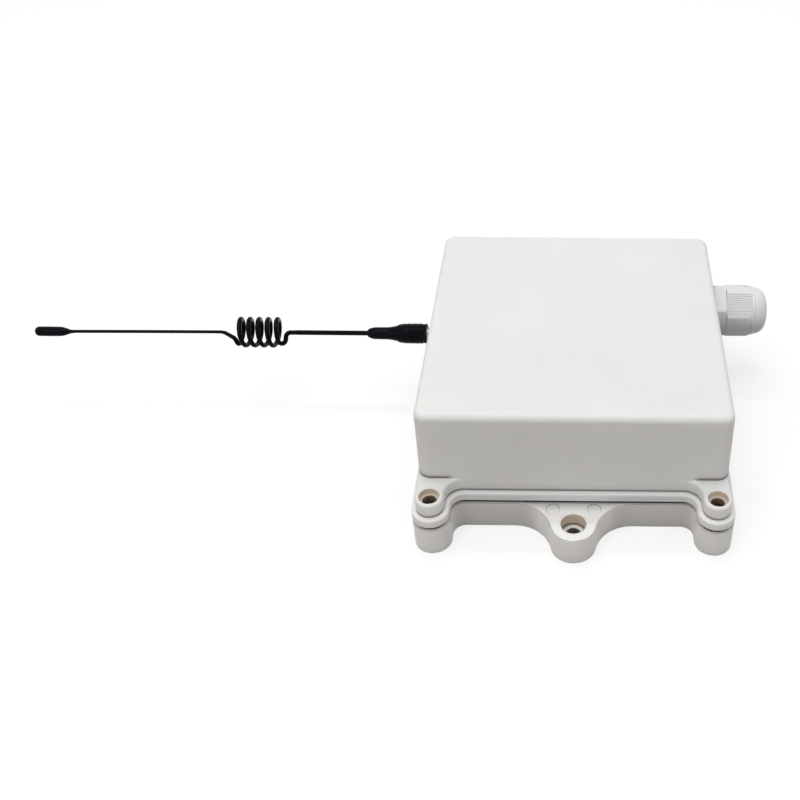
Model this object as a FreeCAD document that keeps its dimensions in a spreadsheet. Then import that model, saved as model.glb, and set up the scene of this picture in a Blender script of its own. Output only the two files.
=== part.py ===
import FreeCAD, Part
import math
import os
import Sketcher
from FreeCAD import Vector

# Wireless remote transmitter in a weatherproof housing, with a coil-loaded whip and a cable gland.
# +Z is up, +X points to the cable gland, -X along the whip and -Y to the front.
# The origin is the middle of the mounting base's underside.

doc = FreeCAD.newDocument("wireless_transmitter")
sheet = doc.addObject("Spreadsheet::Sheet", "Sizes")


class Size:
    """A number together with the sheet expression that gives it."""

    def __init__(self, value, text):
        self.value = float(value)
        self.text = text

    def __add__(self, other):
        other = as_size(other)
        return Size(self.value + other.value, "(%s + %s)" % (self.text, other.text))

    def __sub__(self, other):
        other = as_size(other)
        return Size(self.value - other.value, "(%s - %s)" % (self.text, other.text))

    def __mul__(self, other):
        other = as_size(other)
        return Size(self.value * other.value, "(%s * %s)" % (self.text, other.text))

    def __truediv__(self, other):
        other = as_size(other)
        return Size(self.value / other.value, "(%s / %s)" % (self.text, other.text))

    def __neg__(self):
        return self * -1

    def __radd__(self, other):
        return as_size(other) + self

    def __rsub__(self, other):
        return as_size(other) - self

    def __rmul__(self, other):
        return as_size(other) * self

    def __float__(self):
        return self.value

    def root(self):
        return Size(math.sqrt(self.value), "sqrt(%s)" % self.text)


def as_size(number):
    if isinstance(number, Size):
        return number
    return Size(number, "(%r)" % float(number))


sheet_row = 0


def size(name, value, note):
    """Put one driving dimension in the sheet, in millimetres unless the note says otherwise."""
    global sheet_row
    sheet_row += 1
    sheet.set("A%d" % sheet_row, name)
    sheet.set("B%d" % sheet_row, str(value))
    sheet.set("C%d" % sheet_row, note)
    sheet.setAlias("B%d" % sheet_row, name)
    return Size(value, "Sizes." + name)


# Housing and base, outside
cover_width = size("cover_width", 110.0, "housing across its top, side to side")
cover_depth = size("cover_depth", 115.0, "housing across its top, front to back")
overall_height = size("overall_height", 51.6, "underside of the base to the top of the housing")
base_height = size("base_height", 11.7, "mounting base, underside to rim")
seam_gap = size("seam_gap", 1.3, "open seam between base and housing")
flange_thickness = size("flange_thickness", 3.7, "flange round the foot of the housing")
flange_reach = size("flange_reach", 1.7, "how far the flange stands out from the wall")
draft_rate = size("draft_rate", 0.0175, "draft of the housing walls per millimetre of height")
corner_radius = size("corner_radius", 4.0, "upright corners of the housing")
top_rounding = size("top_rounding", 2.6, "rounding of the housing's top edge")
wall_thickness = size("wall_thickness", 2.6, "housing walls")
ceiling_thickness = size("ceiling_thickness", 2.6, "top of the housing")
flange_rounding = size("flange_rounding", 0.9, "upper edge of the flange")
edge_rounding = size("edge_rounding", 0.4, "edges along the seam")

# Corner bosses and mounting ears
boss_radius = size("boss_radius", 6.7, "corner boss at the seam")
boss_reach = size("boss_reach", 7.0, "corner boss centre, out from the flange's front line")
boss_height = size("boss_height", 9.5, "housing boss above the seam")
boss_rounding = size("boss_rounding", 1.1, "upper edge of the housing boss")
boss_hollow = size("boss_hollow", 4.7, "hollow curve from boss to flange line")
boss_sink = size("boss_sink", 0.05, "boss outline sunk into the wall so that they join")
boss_recess_width = size("boss_recess_width", 7.4, "recess in the housing boss, diameter")
boss_recess_depth = size("boss_recess_depth", 2.3, "recess in the housing boss")
boss_bore = size("boss_bore", 4.7, "bore below the recess, diameter")
stop_radius = size("stop_radius", 4.4, "stop ring on the base boss")
ear_reach = size("ear_reach", 9.6, "mounting hole, out from the flange's front line")
ear_radius = size("ear_radius", 8.2, "nose of the mounting ear")
ear_flare = size("ear_flare", 13.8, "hollow curve from ear to flange line")
ear_bore = size("ear_bore", 5.0, "mounting hole, diameter")
ear_recess_width = size("ear_recess_width", 9.2, "recess for the mounting screw, diameter")
ear_recess_depth = size("ear_recess_depth", 5.1, "recess for the mounting screw")
mark_width = size("mark_width", 5.1, "ejector mark, diameter")
mark_depth = size("mark_depth", 0.3, "ejector mark")
mark_place = size("mark_place", 7.45, "ejector mark, beside the ear's centre line")
mark_reach = size("mark_reach", 2.45, "ejector mark, out from the flange's front line")

# Base tray, sealing tongue and gasket
base_wall = size("base_wall", 3.3, "walls of the base tray")
base_floor = size("base_floor", 2.5, "floor of the base tray")
tray_radius = size("tray_radius", 3.0, "inside corners of the base tray")
tongue_inset = size("tongue_inset", 1.2, "tongue, in from the base's edge")
tongue_width = size("tongue_width", 1.7, "sealing tongue")
groove_slack = size("groove_slack", 0.3, "groove wider than the tongue, each side")
groove_depth = size("groove_depth", 2.5, "gasket groove in the flange")
gasket_height = size("gasket_height", 1.5, "gasket in its groove")
rib_width = size("rib_width", 1.4, "stiffening ribs of the base")
rib_height = size("rib_height", 2.2, "stiffening ribs of the base")
rib_spacing = size("rib_spacing", 24.0, "from one base rib to the next")

# Cover screws and their brass inserts
screw_width = size("screw_width", 4.0, "cover screw thread, diameter")
screw_length = size("screw_length", 14.0, "cover screw below its head")
screw_head_width = size("screw_head_width", 7.4, "cover screw head, diameter")
screw_head_height = size("screw_head_height", 2.4, "cover screw head")
screw_hole = size("screw_hole", 4.5, "hole for the cover screw in the base, diameter")
screw_seat_depth = size("screw_seat_depth", 3.8, "recess for the screw head under the base")
screw_seat_width = size("screw_seat_width", 8.2, "recess for the screw head, diameter")
insert_width = size("insert_width", 5.8, "brass insert, diameter")
insert_length = size("insert_length", 5.2, "brass insert")
thread_slack = size("thread_slack", 0.06, "running clearance of threads, on the radius")

# Cable gland
port_height = size("port_height", 20.0, "gland and antenna axes above the seam")
gland_place = size("gland_place", 30.5, "gland axis behind the middle")
gland_thread = size("gland_thread", 15.2, "gland thread, diameter")
gland_hole_slack = size("gland_hole_slack", 0.15, "hole round the gland thread, on the radius")
gland_seat = size("gland_seat", 21.6, "flat seat round the gland hole, diameter")
gland_wall = size("gland_wall", 3.2, "wall clamped by the gland")
port_pad_gap = size("port_pad_gap", 0.3, "inside pad of a port below the seat outside")
seat_depth = size("seat_depth", 0.1, "least depth of the flat seats in the leaning walls")
gland_flats = size("gland_flats", 19.0, "gland cap across flats")
gland_washer_width = size("gland_washer_width", 20.4, "gland washer, diameter")
gland_washer_thick = size("gland_washer_thick", 1.2, "gland washer")
gland_hex_length = size("gland_hex_length", 5.1, "hexagon of the gland body")
gland_body_flats = size("gland_body_flats", 20.0, "hexagon of the gland body across flats")
gland_cap_gap = size("gland_cap_gap", 0.2, "between gland body and cap")
gland_cap_length = size("gland_cap_length", 10.9, "hexagon of the gland cap")
gland_collar = size("gland_collar", 0.8, "plain ring between hexagon and dome")
gland_dome = size("gland_dome", 5.25, "dome of the gland cap")
gland_dome_rim = size("gland_dome_rim", 0.3, "straight foot of the gland dome")
gland_dome_width = size("gland_dome_width", 18.2, "dome of the gland cap, diameter")
gland_mouth = size("gland_mouth", 9.6, "mouth of the gland cap, diameter")
gland_lip = size("gland_lip", 0.6, "flat rim round the cap's mouth")
gland_bore = size("gland_bore", 9.4, "bore of the gland body, diameter")
gland_neck = size("gland_neck", 13.6, "barrel under the cap, diameter")
gland_neck_length = size("gland_neck_length", 5.0, "barrel under the cap")
gland_claws = size("gland_claws", 5.6, "claws beyond the barrel")
gland_claw_inside = size("gland_claw_inside", 11.2, "between the claws, diameter")
gland_tail = size("gland_tail", 7.6, "thread inside the housing wall")
gland_nut_thick = size("gland_nut_thick", 4.8, "gland locknut")
gland_nut_flats = size("gland_nut_flats", 20.0, "gland locknut across flats")
gland_body_turned = size("gland_body_turned", 27.3, "how far the gland body is turned to the front, degrees")
gland_cap_turned = size("gland_cap_turned", 41.1, "how far the gland cap is turned to the front, degrees")
seal_bore = size("seal_bore", 8.0, "bore of the gland seal, diameter")
seal_slack = size("seal_slack", 0.08, "seal between the claws, on the radius")
seal_length = size("seal_length", 8.2, "gland seal")
seal_gap = size("seal_gap", 0.2, "seal to the foot of the claws")
grip_width = size("grip_width", 0.4, "grip grooves of the cap")
grip_depth = size("grip_depth", 0.25, "grip grooves of the cap")
grip_spacing = size("grip_spacing", 0.9, "from one grip groove to the next")

# Antenna socket on the housing wall
antenna_place = size("antenna_place", 12.7, "antenna axis behind the middle")
antenna_seat = size("antenna_seat", 11.0, "flat seat round the antenna hole, diameter")
antenna_wall = size("antenna_wall", 3.0, "wall clamped by the antenna socket")
jack_thread = size("jack_thread", 5.2, "antenna socket thread, diameter")
jack_reach = size("jack_reach", 11.2, "antenna socket outside the wall")
jack_hex_flats = size("jack_hex_flats", 8.0, "antenna socket hexagon across flats")
jack_hex_thick = size("jack_hex_thick", 2.2, "antenna socket hexagon")
jack_tail_width = size("jack_tail_width", 3.4, "antenna socket crimp sleeve, diameter")
jack_tail_length = size("jack_tail_length", 4.0, "antenna socket crimp sleeve")
jack_back_wall = size("jack_back_wall", 0.7, "closed back of the antenna socket")
core_recess = size("core_recess", 0.3, "core below the socket's end")
jack_core_width = size("jack_core_width", 3.6, "insulating core of the socket, diameter")
jack_contact_width = size("jack_contact_width", 1.6, "socket contact, diameter")
contact_bore = size("contact_bore", 1.0, "bore of the socket contact, diameter")
contact_bore_depth = size("contact_bore_depth", 5.0, "bore of the socket contact")
jack_washer_width = size("jack_washer_width", 9.4, "antenna lock washer, diameter")
jack_washer_thick = size("jack_washer_thick", 0.5, "antenna lock washer")
jack_nut_flats = size("jack_nut_flats", 8.0, "antenna nut across flats")
jack_nut_thick = size("jack_nut_thick", 2.2, "antenna nut")

# Antenna
boot_start = size("boot_start", 4.6, "rubber boot, out from the wall")
boot_radius = size("boot_radius", 4.0, "rubber boot at its foot")
boot_grip = size("boot_grip", 8.7, "straight part of the rubber boot")
boot_flare = size("boot_flare", 6.0, "taper of the rubber boot")
boot_neck_radius = size("boot_neck_radius", 2.45, "neck of the rubber boot")
boot_neck = size("boot_neck", 5.9, "neck of the rubber boot")
boot_nose = size("boot_nose", 3.1, "rounded nose of the rubber boot")
socket_width = size("socket_width", 6.6, "brass coupling in the boot, diameter")
socket_length = size("socket_length", 9.4, "brass coupling in the boot")
socket_floor = size("socket_floor", 1.2, "closed end of the brass coupling")
coupling_inset = size("coupling_inset", 0.3, "coupling inside the foot of the boot")
plug_pin_width = size("plug_pin_width", 0.9, "centre pin of the antenna, diameter")
plug_pin_reach = size("plug_pin_reach", 4.0, "centre pin in the socket contact")
plug_disc_thick = size("plug_disc_thick", 0.8, "insulating disc on the centre pin")
plug_slack = size("plug_slack", 0.2, "between socket end and insulating disc")
coil_wire = size("coil_wire", 1.7, "wire of the lower whip and coil, diameter")
coil_turns = size("coil_turns", 5, "turns of the loading coil")
coil_pitch = size("coil_pitch", 3.66, "from one turn to the next")
coil_width = size("coil_width", 12.3, "loading coil over the wire, diameter")
coil_start = size("coil_start", 62.8, "first turn, out from the wall")
coil_bend = size("coil_bend", 2.0, "bends where the wire enters the coil")
coil_angle = size("coil_angle", 311.0, "where the wire enters the coil, degrees from the front")
coil_exit = size("coil_exit", 5.6, "run of the wire from the coil back to the axis")
coil_lead = size("coil_lead", 1.85, "advance of the wire in the bend that enters the coil")
rod_bend = size("rod_bend", 1.5, "length of the bend where the rod meets the axis")
rod_wire = size("rod_wire", 1.3, "wire of the upper whip, diameter")
sleeve_width = size("sleeve_width", 1.95, "shrink sleeve on the lower whip, diameter")
sleeve_gap = size("sleeve_gap", 2.2, "sleeve end to the coil's bend")
sleeve_overlap = size("sleeve_overlap", 5.0, "sleeve inside the boot")
tip_end = size("tip_end", 161.6, "end of the antenna, out from the wall")
tip_length = size("tip_length", 13.9, "tip capsule")
tip_taper = size("tip_taper", 3.4, "taper of the tip capsule")
tip_radius = size("tip_radius", 1.95, "tip capsule")
tip_bore_depth = size("tip_bore_depth", 9.0, "wire inside the tip capsule")
tip_rim = size("tip_rim", 0.15, "rim of the tip capsule round the wire")

# Circuit board and the parts on it
board_margin = size("board_margin", 10.0, "board edge, in from the housing wall")
board_thickness = size("board_thickness", 1.6, "circuit board")
post_height = size("post_height", 7.6, "posts that carry the board")
post_width = size("post_width", 6.4, "board post, diameter")
post_inset = size("post_inset", 5.0, "board post, in from the board's edges")
board_screw_width = size("board_screw_width", 2.9, "board screw, diameter")
board_screw_length = size("board_screw_length", 7.5, "board screw below its head")
board_screw_head = size("board_screw_head", 5.4, "board screw head, diameter")
board_screw_head_height = size("board_screw_head_height", 1.8, "board screw head")
screw_spare = size("screw_spare", 0.5, "screw hole deeper than its screw")
small_slack = size("small_slack", 0.15, "holes and wells round small screws, on the radius")
terminal_pitch = size("terminal_pitch", 5.08, "from one terminal to the next")
terminal_ways = size("terminal_ways", 5, "terminals in the block")
terminal_width = size("terminal_width", 10.0, "terminal block")
terminal_height = size("terminal_height", 13.0, "terminal block")
terminal_wire_hole = size("terminal_wire_hole", 3.6, "wire entry of a terminal")
terminal_screw_width = size("terminal_screw_width", 3.6, "terminal screw, diameter")
terminal_from_edge = size("terminal_from_edge", 4.0, "terminal block, in from the board's edge")
supply_length = size("supply_length", 34.0, "power supply block")
supply_width = size("supply_width", 20.2, "power supply block")
supply_height = size("supply_height", 15.0, "power supply block")
capacitor_width = size("capacitor_width", 8.0, "smoothing capacitor, diameter")
capacitor_height = size("capacitor_height", 11.5, "smoothing capacitor")
radio_length = size("radio_length", 26.0, "radio module")
radio_height = size("radio_height", 16.0, "radio module")
radio_thickness = size("radio_thickness", 1.0, "radio module's board")
radio_place = size("radio_place", 13.0, "radio module, in from the board's edge")
shield_length = size("shield_length", 15.0, "shield of the radio module")
shield_height = size("shield_height", 11.0, "shield of the radio module")
shield_thickness = size("shield_thickness", 2.4, "shield of the radio module")
lead_width = size("lead_width", 1.8, "antenna lead, diameter")
lead_shift = size("lead_shift", 6.0, "how far the antenna lead steps aside")
chip_length = size("chip_length", 10.3, "control chip")
chip_width = size("chip_width", 7.5, "control chip")
chip_height = size("chip_height", 2.3, "control chip")
crystal_length = size("crystal_length", 11.0, "crystal")
crystal_width = size("crystal_width", 4.7, "crystal")
crystal_height = size("crystal_height", 3.5, "crystal")
light_width = size("light_width", 5.0, "status light, diameter")
light_height = size("light_height", 8.6, "status light")
switch_side = size("switch_side", 6.0, "learn switch")
switch_height = size("switch_height", 3.6, "learn switch")
plunger_width = size("plunger_width", 3.4, "plunger of the learn switch, diameter")
plunger_reach = size("plunger_reach", 2.6, "plunger outside the learn switch")
plunger_slack = size("plunger_slack", 0.05, "plunger in its bore, on the radius")
plunger_travel = size("plunger_travel", 0.3, "travel of the learn switch")
plunger_depth = size("plunger_depth", 1.8, "plunger inside the learn switch")
supply_place = size("supply_place", 32.0, "power supply, in from the board's left edge")
front_clearance = size("front_clearance", 3.0, "power supply and capacitors, in from the board's front edge")
capacitor_place = size("capacitor_place", 18.0, "capacitors, in from the board's left edge")
capacitor_spacing = size("capacitor_spacing", 11.0, "from one capacitor to the next")
chip_place = size("chip_place", 34.0, "control chip and crystal, in from the board's left edge")
chip_back = size("chip_back", 3.0, "control chip behind the board's middle")
light_place = size("light_place", 20.0, "status light, in from the board's right edge")
rear_clearance = size("rear_clearance", 14.0, "status light and switch, in from the board's rear edge")
switch_place = size("switch_place", 36.0, "learn switch, in from the board's right edge")
doc.recompute()

# Heights and outlines that several pieces share
seam_height = base_height + seam_gap
flange_top = seam_height + flange_thickness
boss_top = seam_height + boss_height
ceiling_height = overall_height - ceiling_thickness
port_level = seam_height + port_height
board_low = ceiling_height - post_height - board_thickness


def wall_across(level):
    """Half the housing's width at a height; the walls lean out downwards."""
    return cover_width / 2 + draft_rate * (overall_height - level)


def wall_along(level):
    """Half the housing's depth at a height."""
    return cover_depth / 2 + draft_rate * (overall_height - level)


rim_across = wall_across(flange_top) + flange_reach
rim_along = wall_along(flange_top) + flange_reach
boss_across = rim_across - boss_radius
boss_along = rim_along + boss_reach
ear_along = rim_along + ear_reach
board_across = wall_across(ceiling_height) - wall_thickness - board_margin
board_along = wall_along(ceiling_height) - wall_thickness - board_margin
post_across = board_across - post_inset
post_along = board_along - post_inset

LEFT = 1
RIGHT = -1
STRAIGHT = None


def corner_places(across, along):
    """The four mirrored places of a boss, post or screw."""
    return [(across, along), (-across, along), (-across, -along), (across, -along)]


def rim_outline(inset, with_ears):
    """Outline of base and flange, anticlockwise: corner bosses and, on the base, the two ears."""
    across = rim_across - inset
    along = rim_along - inset
    radius = boss_radius - inset
    hollow = boss_hollow + inset
    neck = boss_across - radius
    points = [
        (across, boss_along),
        (boss_across, boss_along + radius),
        (neck, boss_along),
        (neck, along + hollow),
        (neck - hollow, along),
    ]
    bends = [(radius, LEFT), (radius, LEFT), STRAIGHT, (hollow, RIGHT)]
    if with_ears:
        nose = ear_radius - inset
        flare = ear_flare + inset
        reach = ear_along - along
        foot = ((flare + nose) * (flare + nose) - (reach - flare) * (reach - flare)).root()
        share = nose / (flare + nose)
        points += [
            (foot, along),
            (foot * share, ear_along + (flare - reach) * share),
            (as_size(0), ear_along + nose),
        ]
        bends += [STRAIGHT, (flare, RIGHT), (nose, LEFT)]
        mirrored = points[-2::-1]
        bends = bends + bends[::-1]
    else:
        mirrored = points[::-1]
        bends = bends + [STRAIGHT] + bends[::-1]
    rear = points + [(-x, y) for x, y in mirrored]
    front = [(-x, -y) for x, y in rear]
    return rear + front, bends + [STRAIGHT] + bends + [STRAIGHT]


def rounded_outline(across, along, radius):
    """Rectangle about the middle with rounded corners, anticlockwise."""
    rear = [
        (across, along - radius),
        (across - radius, along),
        (radius - across, along),
        (-across, along - radius),
    ]
    front = [(-x, -y) for x, y in rear]
    return rear + front, [(radius, LEFT), STRAIGHT] * 4


def hexagon_outline(flats, turned=0):
    """Hexagon about the axis, anticlockwise, turned by an angle in degrees."""
    points = []
    for corner in range(6):
        angle = math.radians(60 * corner + turned)
        reach = flats / math.sqrt(3)
        points.append((reach * math.cos(angle), reach * math.sin(angle)))
    return points, [STRAIGHT] * 6


def new_body(name):
    body = doc.addObject("PartDesign::Body", name)
    body.Label = name
    return body


def new_sketch(body, name, plane, height=None):
    """Sketch on one of the body's own planes: XY, XZ or YZ."""
    sketch = body.newObject("Sketcher::SketchObject", body.Name + "_" + name)
    for feature in body.Origin.OriginFeatures:
        if feature.Role == plane + "_Plane":
            sketch.AttachmentSupport = [(feature, "")]
    sketch.MapMode = "FlatFace"
    if height is not None:
        sketch.setExpression(".AttachmentOffset.Base.z", as_size(height).text)
    return sketch


def pin_point(sketch, edge, end, point):
    """Fix the end of an edge at a place that the sheet gives."""
    for kind, place, axis in (("DistanceX", point[0], -2), ("DistanceY", point[1], -1)):
        place = as_size(place)
        if abs(place.value) < 1e-9:
            sketch.addConstraint(Sketcher.Constraint("PointOnObject", edge, end, axis))
        else:
            index = sketch.addConstraint(Sketcher.Constraint(kind, -1, 1, edge, end, place.value))
            sketch.setExpression("Constraints[%d]" % index, place.text)


def draw_outline(sketch, outline):
    """Draw a closed outline of straight and round stretches."""
    points, bends = outline
    flat = [Vector(float(x), float(y), 0) for x, y in points]
    first = sketch.GeometryCount
    ends = []
    for index, bend in enumerate(bends):
        start = flat[index]
        finish = flat[(index + 1) % len(flat)]
        if bend is STRAIGHT:
            sketch.addGeometry(Part.LineSegment(start, finish), False)
            ends.append((1, 2))
            continue
        radius, turn = float(bend[0]), bend[1]
        chord = finish - start
        left = Vector(-chord.y, chord.x, 0).normalize()
        height = math.sqrt(max(radius ** 2 - (chord.Length / 2) ** 2, 0))
        middle = (start + finish) * 0.5 + left * (turn * height)
        if turn == RIGHT:
            start, finish = finish, start
        begin = math.atan2(start.y - middle.y, start.x - middle.x)
        close = math.atan2(finish.y - middle.y, finish.x - middle.x)
        circle = Part.Circle(middle, Vector(0, 0, 1), radius)
        sketch.addGeometry(Part.ArcOfCircle(circle, begin, close), False)
        ends.append((1, 2) if turn == LEFT else (2, 1))
    count = len(points)
    for index in range(count):
        following = (index + 1) % count
        sketch.addConstraint(Sketcher.Constraint(
            "Coincident", first + index, ends[index][1], first + following, ends[following][0]))
    for index in range(count):
        pin_point(sketch, first + index, ends[index][0], points[index])
        if bends[index] is not STRAIGHT:
            radius = as_size(bends[index][0])
            number = sketch.addConstraint(Sketcher.Constraint("Radius", first + index, radius.value))
            sketch.setExpression("Constraints[%d]" % number, radius.text)


def draw_circles(sketch, places, radius):
    """Draw equal circles at the given places."""
    radius = as_size(radius)
    for x, y in places:
        middle = Vector(float(x), float(y), 0)
        edge = sketch.addGeometry(Part.Circle(middle, Vector(0, 0, 1), radius.value), False)
        pin_point(sketch, edge, 3, (x, y))
        number = sketch.addConstraint(Sketcher.Constraint("Radius", edge, radius.value))
        sketch.setExpression("Constraints[%d]" % number, radius.text)


def add_pad(body, sketch, length, back=False):
    pad = body.newObject("PartDesign::Pad", sketch.Name + "_pad")
    pad.Profile = sketch
    pad.setExpression("Length", as_size(length).text)
    pad.Reversed = back
    return pad


def add_pocket(body, sketch, length, forward=False):
    """Cut a sketch into the body, against its plane's normal unless forward."""
    doc.recompute()
    before = body.Shape.Volume
    pocket = body.newObject("PartDesign::Pocket", sketch.Name + "_cut")
    pocket.Profile = sketch
    pocket.setExpression("Length", as_size(length).text)
    pocket.Reversed = forward
    doc.recompute()
    if body.Shape.Volume >= before:
        raise RuntimeError("a cut misses the solid: " + pocket.Name)
    return pocket


def add_rounding(body, feature, edges, radius):
    """Round the named edges of the feature."""
    fillet = body.newObject("PartDesign::Fillet", feature.Name + "_rounding")
    fillet.Base = (feature, edges)
    fillet.setExpression("Radius", as_size(radius).text)
    doc.recompute()
    return fillet


def level_edges(feature, level):
    """Names of the edges on the outer outline of the flat face at a height."""
    doc.recompute()
    shape = feature.Shape
    faces = []
    for face in shape.Faces:
        box = face.BoundBox
        if abs(box.ZMin - level) < 1e-4 and abs(box.ZMax - level) < 1e-4:
            faces.append(face)
    face = max(faces, key=lambda candidate: candidate.Area)
    names = []
    for number, edge in enumerate(shape.Edges, start=1):
        if any(edge.isSame(outer) for outer in face.OuterWire.Edges):
            names.append("Edge%d" % number)
    return names


def turned_body(name, profile, plane="XZ", axis="H_Axis"):
    """Body of revolution: the profile's points are (along the axis, radius), with optional bends."""
    body = new_body(name)
    sketch = new_sketch(body, "profile", plane)
    points, bends = profile
    if axis == "V_Axis":
        points = [(radius, along) for along, radius in points][::-1]
        bends = bends[-2::-1] + bends[-1:]
    draw_outline(sketch, (points, bends))
    spin = body.newObject("PartDesign::Revolution", name + "_spin")
    spin.Profile = sketch
    spin.ReferenceAxis = (sketch, [axis])
    spin.Angle = 360
    return body


def straight_profile(points):
    return points, [STRAIGHT] * len(points)


def place_body(thing, x=0, y=0, z=0):
    for axis, place in (("x", x), ("y", y), ("z", z)):
        place = as_size(place)
        if abs(place.value) > 1e-9:
            thing.setExpression(".Placement.Base." + axis, place.text)


def add_box(name, low, sides):
    """Box from its lowest corner and its sides."""
    box = doc.addObject("Part::Box", name)
    for side, length in zip(("Length", "Width", "Height"), sides):
        box.setExpression(side, as_size(length).text)
    place_body(box, *low)
    return box


def add_cylinder(name, radius, height, low):
    """Upright cylinder from the middle of its lower end."""
    cylinder = doc.addObject("Part::Cylinder", name)
    cylinder.setExpression("Radius", as_size(radius).text)
    cylinder.setExpression("Height", as_size(height).text)
    place_body(cylinder, *low)
    return cylinder


def add_cut(name, base, tools):
    """Cut one tool, or several joined in a compound, from the base."""
    tool = tools[0] if len(tools) == 1 else add_group(name + "_tools", tools)
    cut = doc.addObject("Part::Cut", name)
    cut.Base = base
    cut.Tool = tool
    cut.Label = name
    return cut


def add_group(name, pieces):
    group = doc.addObject("Part::Compound", name)
    group.Links = pieces
    group.Label = name
    return group


def mirror_four(name, piece):
    """The piece and its mirror images in the two upright middle planes, as one group."""
    sideways = doc.addObject("Part::Mirroring", name + "_sideways")
    sideways.Source = piece
    sideways.Normal = Vector(1, 0, 0)
    pair = add_group(name + "_pair", [piece, sideways])
    backwards = doc.addObject("Part::Mirroring", name + "_backwards")
    backwards.Source = pair
    backwards.Normal = Vector(0, 1, 0)
    return add_group(name, [pair, backwards])


nodes = []


def keep(thing, label=None):
    """Mark a finished sub-part, which its label names."""
    thing.Label = label or thing.Name
    nodes.append(thing)
    return thing


# Mounting base: a shallow moulded tray with four screw bosses and two ears
base = new_body("mounting_base")
sketch = new_sketch(base, "outline", "XY")
draw_outline(sketch, rim_outline(as_size(0), True))
pad = add_pad(base, sketch, base_height)
add_rounding(base, pad, level_edges(pad, base_height.value), edge_rounding)

tongue_radius = corner_radius + flange_reach - tongue_inset
sketch = new_sketch(base, "tongue", "XY", base_height)
draw_outline(sketch, rounded_outline(rim_across - tongue_inset, rim_along - tongue_inset, tongue_radius))
tongue_back = tongue_inset + tongue_width
draw_outline(sketch, rounded_outline(
    rim_across - tongue_back, rim_along - tongue_back, tongue_radius - tongue_width))
add_pad(base, sketch, seam_gap + groove_depth - gasket_height)

sketch = new_sketch(base, "stops", "XY", base_height)
draw_circles(sketch, corner_places(boss_across, boss_along), stop_radius)
add_pad(base, sketch, seam_gap)

sketch = new_sketch(base, "tray", "XY", base_height)
tray_across = rim_across - base_wall
tray_along = rim_along - base_wall
draw_outline(sketch, rounded_outline(tray_across, tray_along, tray_radius))
add_pocket(base, sketch, base_height - base_floor)

sketch = new_sketch(base, "screw_holes", "XY", seam_height)
draw_circles(sketch, corner_places(boss_across, boss_along), screw_hole / 2)
add_pocket(base, sketch, seam_height)
sketch = new_sketch(base, "screw_seats", "XY")
draw_circles(sketch, corner_places(boss_across, boss_along), screw_seat_width / 2)
add_pocket(base, sketch, screw_seat_depth, forward=True)

ear_places = [(0, ear_along), (0, -ear_along)]
sketch = new_sketch(base, "ear_holes", "XY", base_height)
draw_circles(sketch, ear_places, ear_bore / 2)
add_pocket(base, sketch, base_height)
sketch = new_sketch(base, "ear_recesses", "XY", base_height)
draw_circles(sketch, ear_places, ear_recess_width / 2)
add_pocket(base, sketch, ear_recess_depth)

sketch = new_sketch(base, "ejector_marks", "XY", base_height)
draw_circles(sketch, corner_places(mark_place, rim_along + mark_reach), mark_width / 2)
add_pocket(base, sketch, mark_depth)

sketch = new_sketch(base, "rib", "XY", base_floor)
rib_outline = [
    (rib_spacing * -1.5 - rib_width / 2, -tray_along),
    (rib_spacing * -1.5 + rib_width / 2, -tray_along),
    (rib_spacing * -1.5 + rib_width / 2, tray_along),
    (rib_spacing * -1.5 - rib_width / 2, tray_along),
]
draw_outline(sketch, straight_profile(rib_outline))
rib = add_pad(base, sketch, rib_height)
doc.recompute()
ribs = base.newObject("PartDesign::LinearPattern", "mounting_base_ribs")
ribs.Originals = [rib]
ribs.Direction = (sketch, ["H_Axis"])
ribs.setExpression("Length", (rib_spacing * 3).text)
ribs.Occurrences = 4
base.Tip = ribs
keep(base)

# Housing: the deep moulded shell that stands on the base and carries everything else
housing = new_body("housing")
sketch = new_sketch(housing, "flange", "XY", seam_height)
draw_outline(sketch, rim_outline(as_size(0), False))
pad = add_pad(housing, sketch, flange_thickness)
pad = add_rounding(housing, pad, level_edges(pad, flange_top.value), flange_rounding)
add_rounding(housing, pad, level_edges(pad, seam_height.value), edge_rounding)

sketch = new_sketch(housing, "bosses", "XY", seam_height)
draw_outline(sketch, rim_outline(flange_reach + boss_sink, False))
pad = add_pad(housing, sketch, boss_height)
add_rounding(housing, pad, level_edges(pad, boss_top.value), boss_rounding)


def add_wall_loft(kind, name, low, high, thickness):
    """Drafted rounded block between two heights, as thick as the walls less a wall thickness."""
    sections = []
    for level, label in ((low, "low"), (high, "high")):
        section = new_sketch(housing, name + "_" + label, "XY", level)
        lean = draft_rate * (overall_height - level)
        draw_outline(section, rounded_outline(
            wall_across(level) - thickness, wall_along(level) - thickness,
            corner_radius + lean - thickness * 0.5))
        sections.append(section)
    loft = housing.newObject(kind, "housing_" + name)
    loft.Profile = sections[0]
    loft.Sections = [sections[1]]
    loft.Ruled = True
    doc.recompute()
    return loft


walls = add_wall_loft("PartDesign::AdditiveLoft", "walls", seam_height, overall_height, as_size(0))
add_rounding(housing, walls, level_edges(walls, overall_height.value), top_rounding)
add_wall_loft("PartDesign::SubtractiveLoft", "hollow", seam_height, ceiling_height, wall_thickness)

sketch = new_sketch(housing, "groove", "XY", seam_height)
groove_inset = tongue_inset - groove_slack
draw_outline(sketch, rounded_outline(
    rim_across - groove_inset, rim_along - groove_inset, tongue_radius + groove_slack))
groove_back = tongue_back + groove_slack
draw_outline(sketch, rounded_outline(
    rim_across - groove_back, rim_along - groove_back, tongue_radius - tongue_width - groove_slack))
add_pocket(housing, sketch, groove_depth, forward=True)

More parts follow.
